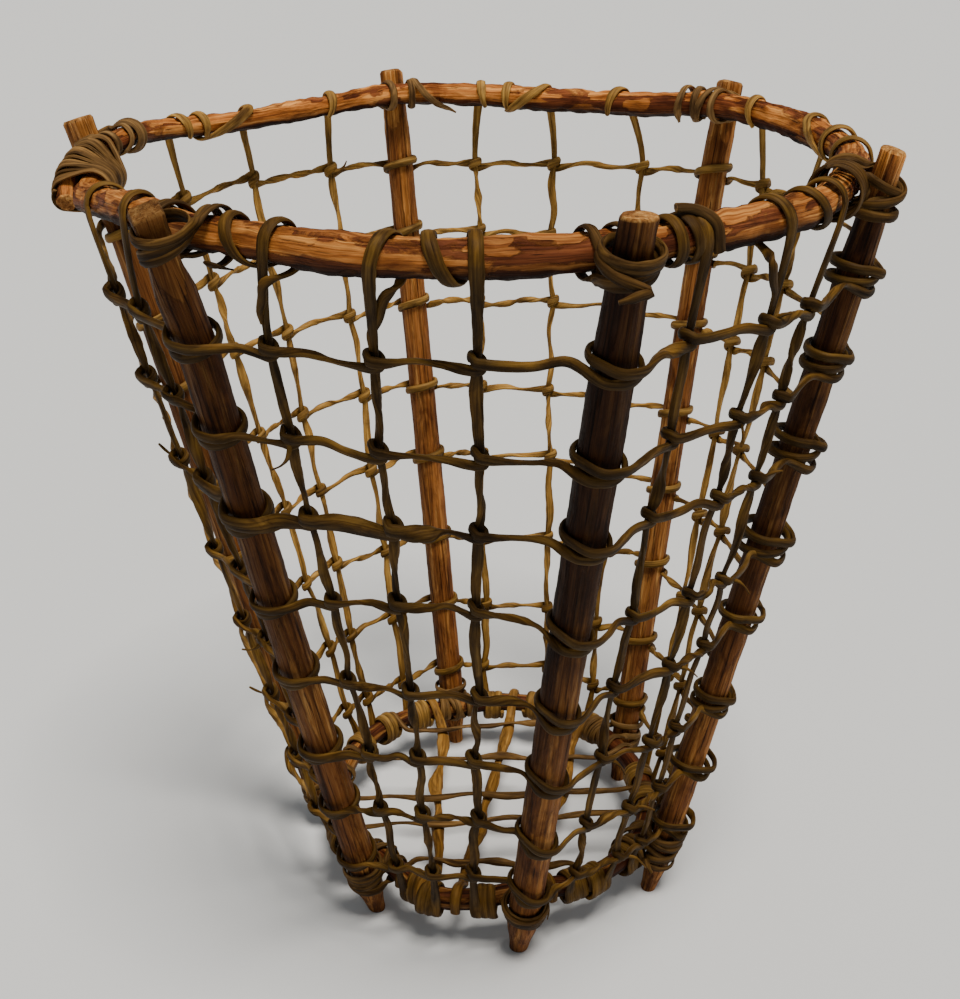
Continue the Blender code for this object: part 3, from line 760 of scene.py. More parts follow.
# The stretches where a row is stouter: the row, the azimuths where it starts and ends, and the share
STOUT_STRETCHES = (
    (2, 216, 262, 1.9), (5, 226, 240, 1.3), (6, 300, 330, 1.3), (4, 300, 330, 1.2), (0, 284, 292, 1.25),
)

# Between two uprights a strand wanders, twists by half turns and changes its tone
RUN_LEVELS = (-0.0016, 0.0012)
RUN_BULGE = 0.0010
RUN_TONES = (-0.07, 0.09)
NEAR_TWISTS = (0, 0, 1, 1, 2)
FAR_TWISTS = (1, 2, 2, 3)


def turn_about(centre, axes, reaches, rise, slope, roll, stout, rounds):
    """A weft's turns about an upright: in low across the outside, round the inside, out over itself."""
    along, outward, sideways = axes
    side_reach, depth_reach = reaches
    over = WEFT_SECTION[1] * OVER_SHARE
    knots = []
    steps = 11 * rounds
    last = 28 + 360 * rounds
    for step in range(steps + 1):
        bearing = -22 + (last + 22) * step / steps
        level = 2 * float(smooth(step / steps * 1.15)) - 1
        level -= 0.55 * float(smooth((bearing - last) / 70 + 1))
        beneath = over * float(smooth((bearing - last) / 50 + 1.5))
        angle = math.radians(bearing)
        away = outward * math.cos(angle) + sideways * math.sin(angle)
        side = (side_reach + beneath) * math.sin(angle)
        offset = outward * ((depth_reach + beneath) * math.cos(angle)) + sideways * side
        spot = centre + offset + along * (rise * level + slope * side)
        wide = TURN_WIDE_SHARE * stout
        thick = TURN_THICK_SHARE * stout
        knots.append(knot(spot, away, roll, wide, thick, CROSSING_TONE))
    return knots


def stoutness(row, azimuth):
    """How many times as stout as usual a row is at this azimuth."""
    for stout_row, start, end, share in STOUT_STRETCHES:
        if stout_row == row and start < azimuth < end:
            return share
    return 1.0


def weft_turn(row, crossing, slope, roll, chance):
    """Where a weft meets an upright, and the knots of its turn about it."""
    centre, axes, radius = crossing
    half = WEFT_SECTION[1]
    rounds = 1
    if radius > 2 * WARP_RADIUS:
        reaches = (radius + half, radius + half)
        rise = chance.uniform(*STAKE_TURN_RISES)
        azimuth = azimuth_of(centre)
        stake = min(STAKES, key=lambda entry: abs((entry[1] + entry[2]) / 2 - azimuth))
        if stake[0] == TWICE_ROUND[0]:
            rounds = 2 if row in TWICE_ROUND[1] else 1
            rise *= 0.5 + 0.5 * rounds
            reaches = tuple(reach + chance.uniform(0.0, LOOSE_TURN) for reach in reaches)
    else:
        reaches = tuple(reach + half for reach in WARP_TURN_REACHES)
        rise = chance.uniform(*WARP_TURN_RISES)
    centre = centre + axes[0] * chance.uniform(-CROSSING_WANDER, CROSSING_WANDER)
    stout = 0.5 + 0.5 * stoutness(row, azimuth_of(centre))
    return centre, turn_about(centre, axes, reaches, rise, slope, roll, stout, rounds)


def weft_run(row, start, centre, after, roll, halves, chance):
    """A weft's run to the next upright, twisted so that its flat side comes round again there."""
    away = outward_of((centre + after) / 2)
    knots = []
    for share in (0.35, 0.65):
        spot = start.lerp(after, 0.12 + 0.76 * share)
        spot += UP * chance.uniform(*RUN_LEVELS) + away * chance.uniform(-RUN_BULGE, RUN_BULGE)
        stout = stoutness(row, azimuth_of(spot))
        wide = chance.uniform(0.85, 1.15) * stout
        thick = chance.uniform(0.85, 1.2) * stout
        paler = chance.uniform(*RUN_TONES)
        knots.append(knot(spot, away, roll + halves * math.pi * share, wide, thick, paler))
    return knots


def weft_row(row, surface):
    """A weft: a turn about each upright that it meets and a run to the next, closed after one round."""
    met = crossings(row)
    chance = random.Random(31 + row)
    knots = []
    roll = 0.0
    for place, crossing in enumerate(met):
        before = met[place - 1][0]
        after = met[(place + 1) % len(met)][0]
        slope = (after.z - before.z) / math.hypot(after.x - before.x, after.y - before.y)
        centre, turn = weft_turn(row, crossing, slope, roll, chance)
        halves = chance.choice(FAR_TWISTS if centre.y > 0 else NEAR_TWISTS) * chance.choice((-1, 1))
        if abs(roll / math.pi + halves) > 2:
            halves = -halves
        if place == len(met) - 1:
            halves = -round(roll / math.pi)
        elif stoutness(row, azimuth_of((centre + after) / 2)) > 1.5:
            halves = 0
        knots += turn + weft_run(row, Vector(turn[-1][:3]), centre, after, roll, halves, chance)
        roll += halves * math.pi
    node = f"weft_row_{row + 1}"
    return strand(f"weft_{row + 1}", knots, WEFT_SECTION, surface, "withe", node, closed=True)


# An upright: how it beds on the sticks, how far it wanders between two wefts, and its turns about the hoop
BED_SHARE = 0.8
RIM_BED_SHARE = 0.98
WARP_SWAY = 0.0016
WARP_BULGE = 0.0008
HOOP_LOOP_LEAN = 0.0042
HOOP_LOOP_SLACK = 0.0035
HOOP_LOOP_STEPS = 27
RIM_SPREAD_SHARE = 1.25

# The upright whose top is knotted on the rim, and its loose end: azimuth, angle round the rim, how high
KNOTTED_WARP = 13
LOOSE_END = ((297.0, -30, 0.3), (296.2, 40, 0.6), (294.8, 70, 1.1), (293.2, 80, 1.7), (292.0, 84, 1.9))

# Uprights that fork under the rim: the second leg's distance to the side and how far below it joins
FORKS = {11: (0.0085, 0.026), 14: (-0.0080, 0.022), 10: (0.0065, 0.020)}


def rim_loops(number, entry):
    """An upright's turns about the rim stick, from its inner side over the top to the outer side."""
    azimuth, _, _, turns, aside = entry
    turned = TAIL_ANGLE + 360 * (turns - 1 + (number == KNOTTED_WARP))
    count = round(turned / 30)
    knots = []
    for step in range(count + 1):
        angle = turned * (1 - step / count)
        if turns == 1:
            spread = angle / turned
        elif azimuth < 180:
            spread = float(smooth((angle - 90) / 180))
        else:
            spread = float(smooth((angle - 120) / (turned - 240)))
        centre, radius, away, _ = rim_frame(azimuth + aside * RIM_SPREAD_SHARE * spread)
        out = around_stick(away, angle)
        wide = 0.55 + 0.6 * min(1.0, step / 3)
        reach = radius * RIM_BED_SHARE + WARP_SECTION[1] * BED_SHARE
        knots.append(knot(centre + out * reach, out, 0.0, wide, 0.8))
    return knots


def hoop_loops(entry, roll, chance):
    """An upright's turns about the base hoop, slack underneath."""
    hoop = hoop_point(entry[2])
    away = outward_of(hoop)
    sideways = Vector((-away.y, away.x, 0))
    lean = chance.choice((-1, 1)) * HOOP_LOOP_LEAN
    knots = []
    for step in range(HOOP_LOOP_STEPS):
        out = around_stick(away, -34 * step)
        reach = HOOP_STICK_RADIUS + WARP_SECTION[1] * BED_SHARE + HOOP_LOOP_SLACK * max(0.0, -out.z)
        wide = 1.25 if step < HOOP_LOOP_STEPS - 3 else 0.6
        knots.append(knot(hoop + out * reach + sideways * (lean * step / 8.5), out, roll, wide, 1.1))
    return knots


def warp(number, entry, surface):
    line = warp_line(entry)
    chance = random.Random(101 + number)
    knots = rim_loops(number, entry)
    heights = [crossing_height(row, line) for row in range(len(ROW_HEIGHT_SHARES))]
    roll = 0.0
    for row, height in enumerate(heights):
        _, outward, sideways = local_axes(line, height)
        met = on_line(line, height) + sideways * warp_wander(number, row)
        knots.append(knot(met, outward, roll, 0.72, 0.9, CROSSING_TONE))
        if row == len(heights) - 1:
            break
        halves = chance.choice(NEAR_TWISTS) * chance.choice((-1, 1))
        for share in (0.3, 0.7):
            spot = on_line(line, height + (heights[row + 1] - height) * share)
            sway = chance.uniform(-WARP_SWAY, WARP_SWAY)
            spot += sideways * sway + outward * chance.uniform(-WARP_BULGE, WARP_BULGE)
            thick = chance.uniform(0.9, 1.15)
            wide = chance.uniform(0.85, 1.15)
            paler = chance.uniform(*RUN_TONES)
            knots.append(knot(spot, outward, roll + halves * math.pi * share, wide, thick, paler))
        roll += halves * math.pi
    knots += hoop_loops(entry, roll, chance)
    node = f"warp_{number + 1:02d}"
    return strand(f"upright_{number + 1:02d}", knots, WARP_SECTION, surface, "withe", node)


# Frayed ends at crossings: the row, the azimuth, and shares of their length sideways, upward and outward
FRAYED_ENDS = (
    (0, 309, 0.4, 0.5, 0.5), (1, 309, -0.6, -0.5, 0.6), (1, 246, -0.5, -0.9, 0.5), (3, 259, 0.3, -0.9, 0.5),
    (4, 220, -0.6, -0.3, 0.8), (2, 203, -0.3, 0.8, 0.6), (5, 295, 0.7, -0.5, 0.6), (0, 120, -0.6, 0.4, -0.5),
    (6, 309, 0.7, 0.2, 0.8), (2, 321, 0.5, 0.6, 0.7), (4, 309, 0.7, -0.2, 0.8), (7, 309, 0.8, -0.4, 0.9),
    (5, 209, -0.5, 0.5, 0.8), (3, 321, 0.6, -0.5, 0.8),
)
FRAYED_LENGTH = 0.014
FRAYED_SECTION = (0.0017, 0.0009)


def frayed_end(number, entry, surface):
    row, azimuth, side, rise, out = entry
    nearest = min(crossings(row), key=lambda met: abs(azimuth_of(met[0]) - azimuth))
    centre, (_, outward, sideways), radius = nearest
    start = centre + outward * (radius * (1 if out > 0 else -1))
    way = sideways * side + UP * rise + outward * out
    bend = UP * side - sideways * rise
    knots = []
    for step in range(5):
        share = step / 4
        spot = start + way * (FRAYED_LENGTH * share) + bend * (FRAYED_LENGTH * 0.3 * math.sin(3 * share))
        knots.append(knot(spot, outward, 1.5 * share, 1.0 - 0.6 * share, 1.0 - 0.5 * share))
    return strand(f"frayed_end_{number + 1}", knots, FRAYED_SECTION, surface, "withe", f"weft_row_{row + 1}")


def forked_leg(number, surface):
    """The second leg of a forked upright: from the underside of the rim, bowed aside, to the upright."""
    entry = WARPS[number]
    aside, below = FORKS[number]
    line = warp_line(entry)
    centre, radius, away, sideways = rim_frame(entry[0])
    start = centre + sideways * aside
    half = WARP_SECTION[1]
    knots = []
    for angle in (20, -15, -50, -85):
        out = around_stick(-away, angle)
        knots.append(knot(start + out * (radius + half * BED_SHARE), out, 0.0, 0.85, 0.85))
    outward = local_axes(line, centre.z - below)[1]
    for share, bow, wide in ((0.30, 1.10, 0.9), (0.65, 0.70, 0.85), (1.0, 0.18, 0.7), (1.3, 0.10, 0.35)):
        spot = on_line(line, centre.z - radius - below * share)
        spot = spot + outward * (half * 0.9) + sideways * (aside * bow)
        knots.append(knot(spot, outward, 0.0, wide, wide))
    node = f"warp_{number + 1:02d}"
    return strand(f"forked_leg_{number + 1}", knots, WARP_SECTION, surface, "withe", node)


def loose_end(surface):
    knots = []
    for place, (azimuth, angle, lift) in enumerate(LOOSE_END):
        centre, radius, away, _ = rim_frame(azimuth)
        out = around_stick(away, angle)
        reach = radius + WARP_SECTION[1] * (1 + lift)
        knots.append(knot(centre + out * reach, out, 0.2 * place, 1.1 - 0.08 * place, 1.0))
    return strand("loose_end", knots, WARP_SECTION, surface, "withe", f"warp_{KNOTTED_WARP + 1:02d}")


# Hewn flats: how often per metre they turn, change in depth and are chipped, and how long a squared top is
FLAT_TURNS_PER_METRE = 6
FLAT_DEPTHS_PER_METRE = 11
CHIPS_PER_METRE = 42
SQUARED_LENGTH = 0.045
SQUARED_FADE_LENGTH = 0.02


def hewn(seed, count, depth_share, squared=0.0, chips=0.0):
    """Flats hewn along a stick, as shares of its radius by place and angle. Its top may be squared."""
    def share(run, whole, angle):
        least = 1.0
        for cut in range(count):
            turn = noise.noise(Vector((run * FLAT_TURNS_PER_METRE, cut * 3.3, seed)))
            bearing = 2 * math.pi * cut / count + 1.2 * turn
            deep = noise.noise(Vector((run * FLAT_DEPTHS_PER_METRE, cut * 5.1, seed + 3)))
            depth = 1 - depth_share * (0.35 + 1.6 * deep)
            facing = math.cos(angle - bearing)
            if facing > 0.5:
                least = min(least, depth / facing)
        if chips:
            spot = Vector((run * CHIPS_PER_METRE, math.cos(angle) * 1.5 + seed, math.sin(angle) * 1.5))
            least -= chips * float(smooth((noise.noise(spot) - 0.05) / 0.3))
        if squared:
            near_top = float(smooth((run - whole + SQUARED_LENGTH) / SQUARED_FADE_LENGTH)) * squared
            for cut in range(4):
                facing = math.cos(angle - math.pi * (0.15 + cut / 2))
                if facing > 0.6:
                    least = min(least, (1 - 0.22 * near_top) / facing)
        return least
    return share


# Each stake's top: how far it is squared, how its cut slopes outward, then its width, its lift and its lean
# to the left as shares of the radius; then its painted light and shade at top and foot, and how much paler
# its end is
STAKE_LOOKS = {
    "left": (1.3, 0.05, 0.92, 0.25, 0.50, 0.26, 0.30, 0.22),
    "front_left": (1.1, 0.16, 0.98, 0.10, 0.45, 0.10, 0.28, 0.00),
    "front": (0.0, -0.22, 0.83, 0.05, 0.00, 0.01, 0.31, 0.10),
    "right": (0.3, 0.10, 0.78, 0.30, 0.00, 0.10, 0.36, 0.74),
    "back_right": (0.8, 0.10, 1.0, 0.0, -0.20, 0.48, 0.42, 0.10),
    "back": (0.8, 0.10, 1.0, 0.0, 0.00, 0.52, 0.44, 0.10),
}
STAKE_TOP_TAPER = 0.070
STAKE_TOP_CUT = 0.016
STAKE_LEAN_LENGTH = 0.080
STAKE_CUT_LENGTH = 0.030
STAKE_FOOT_TAPER = 0.034
STAKE_FOOT_SHARE = 0.60


def stake_post(stake, surface, end_surface):
    """A hewn stake that tapers to its foot, leans and narrows at its top, and is cut aslant there."""
    line = stake_line(stake)
    radius = STAKE_RADIUS * stake[5]
    squared, slope, top_share, lift, lean, top_painted_light, foot_painted_light, paler = STAKE_LOOKS[stake[0]]
    top = RIM_HEIGHT + STAKE_STAND_HEIGHT * stake[6] + lift * radius
    count = round(top / STICK_STEP)
    places = [(share, size) for share, size in zip(STAKE_RING_SHARES, STAKE_TAPER_SHARES)]
    outward = local_axes(line, top / 2)[1]
    rows = []
    for step in range(count + 1):
        height = top * step / count
        share = through(places, step / count)
        share *= 1 - (1 - top_share) * float(smooth((height - top) / STAKE_TOP_TAPER + 1))
        share *= 1 - (1 - STAKE_FOOT_SHARE) * float(smooth(1 - height / STAKE_FOOT_TAPER))
        sway = Vector((-lean * radius, 0, 0)) * float(smooth((height - top) / STAKE_LEAN_LENGTH + 1))
        rows.append(knot(on_line(line, height) + sway, outward, 0.0, share, share))

    # Painted shade and light: each stake's level from top to foot, its faces towards +X painted lighter; its
    # cut end is paler
    def tone(point, facing):
        lower = float(smooth((RIM_HEIGHT * 0.7 - point.z) / (RIM_HEIGHT * 0.5)))
        cut = paler * float(smooth((point.z - top) / STAKE_CUT_LENGTH + 1))
        return top_painted_light + (foot_painted_light - top_painted_light) * lower + cut + 0.12 * facing.x * (0.4 + lower)

    made = sweep(
        f"post_{stake[0]}", np.array(rows), (radius, radius), surface, sides=30, roughness=0.025,
        facets=hewn(len(stake[0]) * 1.7, 6, 0.06, squared, 0.012), end_surface=end_surface, flat_back=1.0,
        tone=tone, cut_tone=CUT_TONE * (DULL_END_SHARE if stake[0] == "front_left" else 1.0),
    )
    # the top is cut aslant, and the foot is flat on the floor
    for vertex in made.data.vertices:
        above = vertex.co.z - (top - STAKE_TOP_CUT)
        if above > 0:
            offset = vertex.co - on_line(line, top) - Vector((AXIS_X, AXIS_Y, 0))
            drop = radius * abs(slope) + slope * offset.dot(outward)
            vertex.co.z -= max(0.0, drop) * min(1.0, above / STAKE_TOP_CUT)
        vertex.co.z = max(vertex.co.z, 0.0)
    return place_piece(made, "stake_wood", f"stake_{stake[0]}")


def rim_stick(surface, end_surface):
    whole = RIM_THIN_END - RIM_CUT_BACK - RIM_THICK_END
    count = round(math.radians(whole) * RIM_CIRCLE / STICK_STEP * 1.3)
    rows = []
    for step in range(count + 1):
        point, radius = rim_point(RIM_THICK_END + whole * step / count)
        share = radius / RIM_STICK_RADIUS * (1.0 + 0.05 * noise.noise(Vector((step * 0.07, 3, 9))))
        rows.append(knot(point, UP, 0.0, share, share))

    # Painted light and shade: darker on the front of the basket, brighter on its far side and on the stick's
    # upper faces
    def tone(point, facing):
        far = float(smooth((point.y + RIM_SHADE_FRONT) / RIM_SHADE_DEPTH))
        return 0.41 + 0.22 * far + 0.95 * min(0.16, facing.z + 0.12)

    made = sweep("rim_stick", np.array(rows), (RIM_STICK_RADIUS, RIM_STICK_RADIUS), surface, sides=26,
                 roughness=0.11, facets=hewn(5.0, 6, 0.13, 0.0, 0.10), end_surface=end_surface,
                 flat_back=1.0, top_bare=0.30, tone=tone)
    return place_piece(made, "rim_wood", "rim_hoop")


def foot_hoop(surface):
    count = round(2 * math.pi * HOOP_CIRCLE / STICK_STEP)
    rows = [knot(hoop_point(360 * step / count), UP) for step in range(count)]
    made = sweep("foot_hoop", np.array(rows), (HOOP_STICK_RADIUS, HOOP_STICK_RADIUS), surface, closed=True,
                 sides=18, roughness=0.05, flat_back=1.0, facets=hewn(8.0, 6, 0.05, 0.0, 0.04),
                 # painted highlight: the hoop's upper faces are lighter
                 tone=lambda point, facing: 0.14 + 0.25 * facing.z)
    return place_piece(made, "hoop_wood", "base_hoop")


# The coil over the rim stick's ends, and how far its thin end is cut back, in degrees round the rim
COIL_TURNS = 12
COIL_STEPS = 18
COIL_FROM = 178.8
COIL_PITCH = 0.0026
RIM_CUT_BACK = 2.2

# One turn of each kind about a post and the stick behind it. A place on it is a share of the post's radius
# sideways, a share of the stick's radius inward or outward (2 is the post's outer face), and one upward.
SLANT = ((-1.3, 1.0, -0.9), (0.0, 2.15, 0.0), (1.3, 1.0, 0.9), (1.1, -0.2, 1.3), (0.0, -1.3, 0.1),
         (-1.1, -0.3, -1.3))
HUG = ((-1.5, 0.8, 1.0), (-0.8, 1.9, -0.3), (0.0, 2.15, -0.6), (0.8, 1.9, -0.3), (1.5, 0.8, 1.0),
       (1.2, -0.8, 1.1), (0.0, -1.3, 0.5), (-1.2, -0.8, 1.1))
LOW = ((-1.3, 0.8, -1.3), (0.0, 2.15, -1.6), (1.3, 0.8, -1.3), (1.0, -0.5, -1.2), (0.0, -1.3, -0.6),
       (-1.0, -0.5, -1.2))
HIGH = ((-1.3, 0.8, 1.3), (0.0, 2.15, 1.5), (1.3, 0.8, 1.3), (1.0, -0.5, 1.2), (0.0, -1.3, 0.6),
        (-1.0, -0.5, 1.2))
RING = ((0.0, 1.3, 0.1), (0.05, 0.2, 1.3), (0.1, -1.3, 0.0), (0.15, 0.2, -1.3))


def stacked(kind, *rises):
    """Turns of one kind that climb the same way, each raised by its own share."""
    return tuple((kind, 1, 0.0, rise) for rise in rises)


def rings(*shifts):
    """Turns about the stick alone, each shifted along it by its own share."""
    return tuple((RING, 1, shift, 0.0) for shift in shifts)


# The turns that bind each stake to the rim and to the hoop: the kind, which way it climbs, and how far it is
# shifted along the stick and raised, as shares of the stick's radius. A tail follows the last turn.
CROSSED = ((SLANT, 1, 0.0, 0.1), (SLANT, -1, 0.0, 0.0))
RIM_TURNS = {
    "left": ((SLANT, 1, 0.0, 0.0), (SLANT, -1, 0.0, 0.0), (SLANT, -1, -0.3, 0.3))
    + rings(-1.2, -1.5, -1.9, -2.4),
    "front_left": rings(-3.2, -2.6) + stacked(SLANT, 0.6) + ((SLANT, 1, 0.1, 0.9), (SLANT, 1, 0.1, 0.3))
    + stacked(SLANT, 1.1) + stacked(LOW, 1.8, 1.3),
    "front": stacked(SLANT, 0.0) + rings(-2.0)
    + ((HUG, 1, 0.0, 0.6), (HUG, 1, 0.1, 0.2), (HUG, 1, 0.0, -0.2), (HUG, 1, -0.1, 0.4)),
    "right": ((SLANT, 1, 0.0, 0.0), (SLANT, 1, 0.1, 0.3), (SLANT, -1, 0.0, 0.0))
    + stacked(LOW, 1.3, 0.9, 0.4) + ((SLANT, 1, 0.2, 0.6),) + rings(-1.7, -2.2, -2.8),
    "back_right": CROSSED + ((SLANT, 1, 0.3, -0.4), (SLANT, -1, -0.2, 0.4)) + rings(1.9),
    "back": CROSSED + ((SLANT, 1, -0.3, 0.4), (SLANT, -1, 0.2, -0.4)),
}
RIM_TAILS = {
    "left": ((-2.6, 0.8, 0.9), (-2.9, 1.2, 0.0), (-3.4, 1.4, -1.0)),
    "front_left": ((1.6, 0.6, -0.7), (2.4, 0.3, -1.0)),
    "front": ((-1.3, 0.9, 0.8), (-0.6, 2.3, -0.2), (0.5, 2.4, -0.7), (-0.5, 2.5, -1.0), (-1.5, 2.4, -1.3)),
    "right": ((-3.4, 0.2, 1.25), (-3.9, -0.4, 1.5), (-4.6, -0.6, 1.5)),
    "back_right": ((1.9, -1.3, 0.3), (1.5, -1.6, -0.6), (1.2, -1.7, -1.2)),
    "back": ((-1.4, -1.3, 0.5), (-2.6, -1.5, -0.2), (-3.8, -1.6, -1.0), (-5.0, -1.7, -1.7)),
}
FOOT_TURNS = {
    "left": CROSSED + stacked(LOW, 0.3),
    "front_left": ((SLANT, 1, 0.0, 0.8), (SLANT, -1, 0.0, 0.7)) + stacked(LOW, 1.6, 1.0) + stacked(HIGH, 1.1)
    + ((SLANT, 1, 0.1, 1.2),),
    "front": ((SLANT, 1, 0.0, 1.3), (SLANT, -1, 0.0, 1.3), (LOW, 1, 0.0, 2.1), (HIGH, 1, 0.0, 1.0),
              (SLANT, 1, 0.2, 1.0), (LOW, 1, 0.0, 1.6), (SLANT, -1, 0.1, 0.9), (HIGH, 1, 0.0, 0.5),
              (SLANT, 1, -0.1, 1.5)),
    "right": CROSSED + stacked(LOW, 0.5) + stacked(HIGH, 0.1, 0.8, 1.4) + ((SLANT, 1, 0.2, 0.9),)
    + stacked(HIGH, 2.0) + rings(-2.4, -3.1),
    "back_right": CROSSED + ((SLANT, 1, 0.3, -0.4),) + stacked(HIGH, 0.0, 0.7) + rings(2.0, 2.6),
    "back": CROSSED + ((SLANT, 1, -0.3, 0.3),) + stacked(HIGH, 0.0, 0.6) + rings(-2.4, 2.4),
}
LOW_TAIL = ((-1.4, 1.0, -1.4), (-1.8, 1.4, -2.2))
RING_TAIL = ((2.4, 1.3, 0.0), (2.9, 1.5, -1.0))
FOOT_TAILS = {
    "left": LOW_TAIL,
    "front_left": LOW_TAIL,
    "front": ((1.2, 1.4, 0.9), (1.7, 1.8, 0.0)),
    "right": ((-2.4, 1.3, 0.1), (-2.9, 1.5, -1.0)),
    "back_right": RING_TAIL,
    "back": RING_TAIL,
}
# A lashing is drawn taut in passes at ever finer steps, with the last length of its tail held where it is.
# Each further turn lies higher by a share of the strand, and both ends taper.
TIGHTENING_STEPS = (0.0070, 0.0040)
TIGHTENING_PASSES = 90
HELD_LENGTH = 0.02
LAYER_SHARE = 0.30
BAND_SHARE = 1.18
TAPER_LENGTH = 0.012


def guide(points, radii):
    """A stick as places on its middle line, its direction at each, and its radii."""
    places = np.array([tuple(point) for point in points])
    ahead = np.gradient(places, axis=0)
    return places, ahead / np.linalg.norm(ahead, axis=1)[:, None], np.array(radii)


def clear_of(line, sticks):
    """How far each place on a line lies from the nearest stick's surface, and which way that faces."""
    nearest = np.full(len(line), np.inf)
    facing = np.zeros((len(line), 3))
    for centres, ahead, radii in sticks:
        gaps = np.linalg.norm(line[:, None, :] - centres[None, :, :], axis=2)
        near = gaps.argmin(axis=1)
        offset = line - centres[near]
        offset -= ahead[near] * (offset * ahead[near]).sum(axis=1)[:, None]
        distance = np.maximum(np.linalg.norm(offset, axis=1), 1e-9)
        clear = distance - radii[near]
        closer = clear < nearest
        nearest[closer] = clear[closer]
        facing[closer] = (offset / distance[:, None])[closer]
    return nearest, facing


def tightened(line, lift, sticks, held):
    """The line drawn taut over the sticks, each place off them by its own lift, its last places held."""
    line = line.copy()
    for _ in range(TIGHTENING_PASSES):
        pull = (line[:-2] + line[2:]) / 2 - line[1:-1]
        pull[len(pull) - held:] = 0
        line[1:-1] += pull * 0.5
        for stick in sticks:
            clear, facing = clear_of(line, [stick])
            short = np.maximum(lift - clear, 0)
            line += facing * short[:, None]
    return line


def bound_sticks(name, node, stake, stick, stick_guide, away, ring, turns, tail, surface):
    """A lashing: its turns about a post and the stick behind it, drawn taut over both."""
    line = stake_line(stake)
    post_radius = stake_radius(stake, ring)
    stick_radius = float(stick_guide[2][len(stick_guide[2]) // 2])
    along = local_axes(line, stick.z)[0]
    sideways = Vector((-away.y, away.x, 0))
    outer = (on_line(line, stick.z) - stick).length + post_radius
    heights = [stick.z + post_radius * step / 4 for step in range(-16, 17)]
    post_guide = guide([on_line(line, height) for height in heights], [post_radius] * len(heights))
    sticks = [post_guide, stick_guide]
    half = BINDING_SECTION[1]

    def stop(side, depth, rise, lift):
        # until the strand is taut, a place keeps its lift off the sticks where a knot keeps its normal
        reach = depth * stick_radius if depth < 1.5 else outer * depth / 2
        spot = stick + sideways * side + away * reach + along * (rise * stick_radius)
        return knot(spot, (lift, 0, 0))

    stops = []
    for number, (kind, climb, shift, raised) in enumerate(turns):
        for side, depth, rise in kind:
            where = side * climb * post_radius + shift * stick_radius
            stops.append(stop(where, depth, rise + raised, half * (0.9 + LAYER_SHARE * number)))
    for side, depth, rise in tail:
        stops.append(stop(side * stick_radius, depth, rise, half * (1.6 + LAYER_SHARE * len(turns))))
    places = np.array(stops)
    for step in TIGHTENING_STEPS:
        places = curve_through(places, False, step)
        places[:, :3] = tightened(places[:, :3], places[:, 3], sticks, round(HELD_LENGTH / step))
    places = curve_through(places, False, STRAND_STEP)
    _, facing = clear_of(places[:, :3], sticks)
    for _ in range(4):
        facing[1:-1] = (facing[:-2] + facing[1:-1] * 2 + facing[2:]) / 4
    run = np.arange(len(places)) * STRAND_STEP
    taper = 0.45 + 0.55 * smooth(np.minimum(run, run[::-1]) / TAPER_LENGTH)
    rows = np.zeros((len(places), 10))
    rows[:, :3] = places[:, :3]
    rows[:, 3:6] = facing
    rows[:, 7] = taper * BAND_SHARE
    rows[:, 8] = taper
    made = sweep(name, rows, BINDING_SECTION, surface, roughness=0.22, tone=binding_painted_light_tone)
    return place_piece(made, "binding", node)


def binding_painted_light_tone(point, facing):
    # the withes' painted light and shade, toned down for the lashings
    return painted_light_tone(point, facing) * 0.72 + 0.07


def rim_bound(stake, surface):
    """The lashing that binds the rim stick to a stake."""
    name = stake[0]
    azimuth = azimuth_of(on_line(stake_line(stake), RIM_HEIGHT + RIM_RISE_HEIGHT * stake[7]))
    stick, _, away, _ = rim_frame(azimuth)
    frames = [rim_frame(azimuth + step)[:2] for step in range(-16, 17)]
    rim_guide = guide([point for point, _ in frames], [radius for _, radius in frames])
    return bound_sticks(f"rim_binding_{name}", f"rim_lashing_{name}", stake, stick, rim_guide, away, -1,
                        RIM_TURNS[name], RIM_TAILS[name], surface)


def foot_bound(stake, surface):
    """The lashing that binds the base hoop to a stake."""
    name = stake[0]
    azimuth = azimuth_of(on_line(stake_line(stake), HOOP_HEIGHT))
    stick = hoop_point(azimuth)
    points = [hoop_point(azimuth + 2 * step) for step in range(-14, 15)]
    hoop_guide = guide(points, [HOOP_STICK_RADIUS] * len(points))
    return bound_sticks(f"foot_binding_{name}", f"base_lashing_{name}", stake, stick, hoop_guide,
                        outward_of(stick), 0, FOOT_TURNS[name], FOOT_TAILS[name], surface)


def splice(surface):
    """The close coil of flat strips, drawn taut over the rim stick's two ends."""
    half = COIL_SECTION[1]
    middle = COIL_FROM + math.degrees(COIL_PITCH * COIL_TURNS / 2 / RIM_CIRCLE)
    between = (rim_point(middle + 360)[0] - rim_point(middle)[0]).normalized()
    knots = []
    for step in range(COIL_TURNS * COIL_STEPS + 1):
        azimuth = COIL_FROM + math.degrees(COIL_PITCH * step / COIL_STEPS / RIM_CIRCLE)
        across = between.cross(polar(azimuth + 90, 1, 0)).normalized()
        angle = 2 * math.pi * step / COIL_STEPS
        out = between * math.cos(angle) + across * math.sin(angle)
        lift = half * (1.0 + 0.7 * math.sin(2.1 * step / COIL_STEPS) ** 2)
        reaches = []
        for centre, radius in (rim_point(azimuth), rim_point(azimuth + 360)):
            reaches.append((centre.dot(out) + radius, tuple(centre + out * (radius + lift))))
        _, point = max(reaches)
        roll = 0.12 * math.sin(2.3 * step / COIL_STEPS)
        knots.append(knot(point, out, roll, 1.0, 1.0, 0.14 * math.sin(1.9 * step / COIL_STEPS)))
    return strand("splice_coil", knots, COIL_SECTION, surface, "binding", "rim_splice_binding")


FLOOR_WANDER = 0.0028
FLOOR_LONG_SAG = 0.002
FLOOR_CROSS_SAG = 0.001


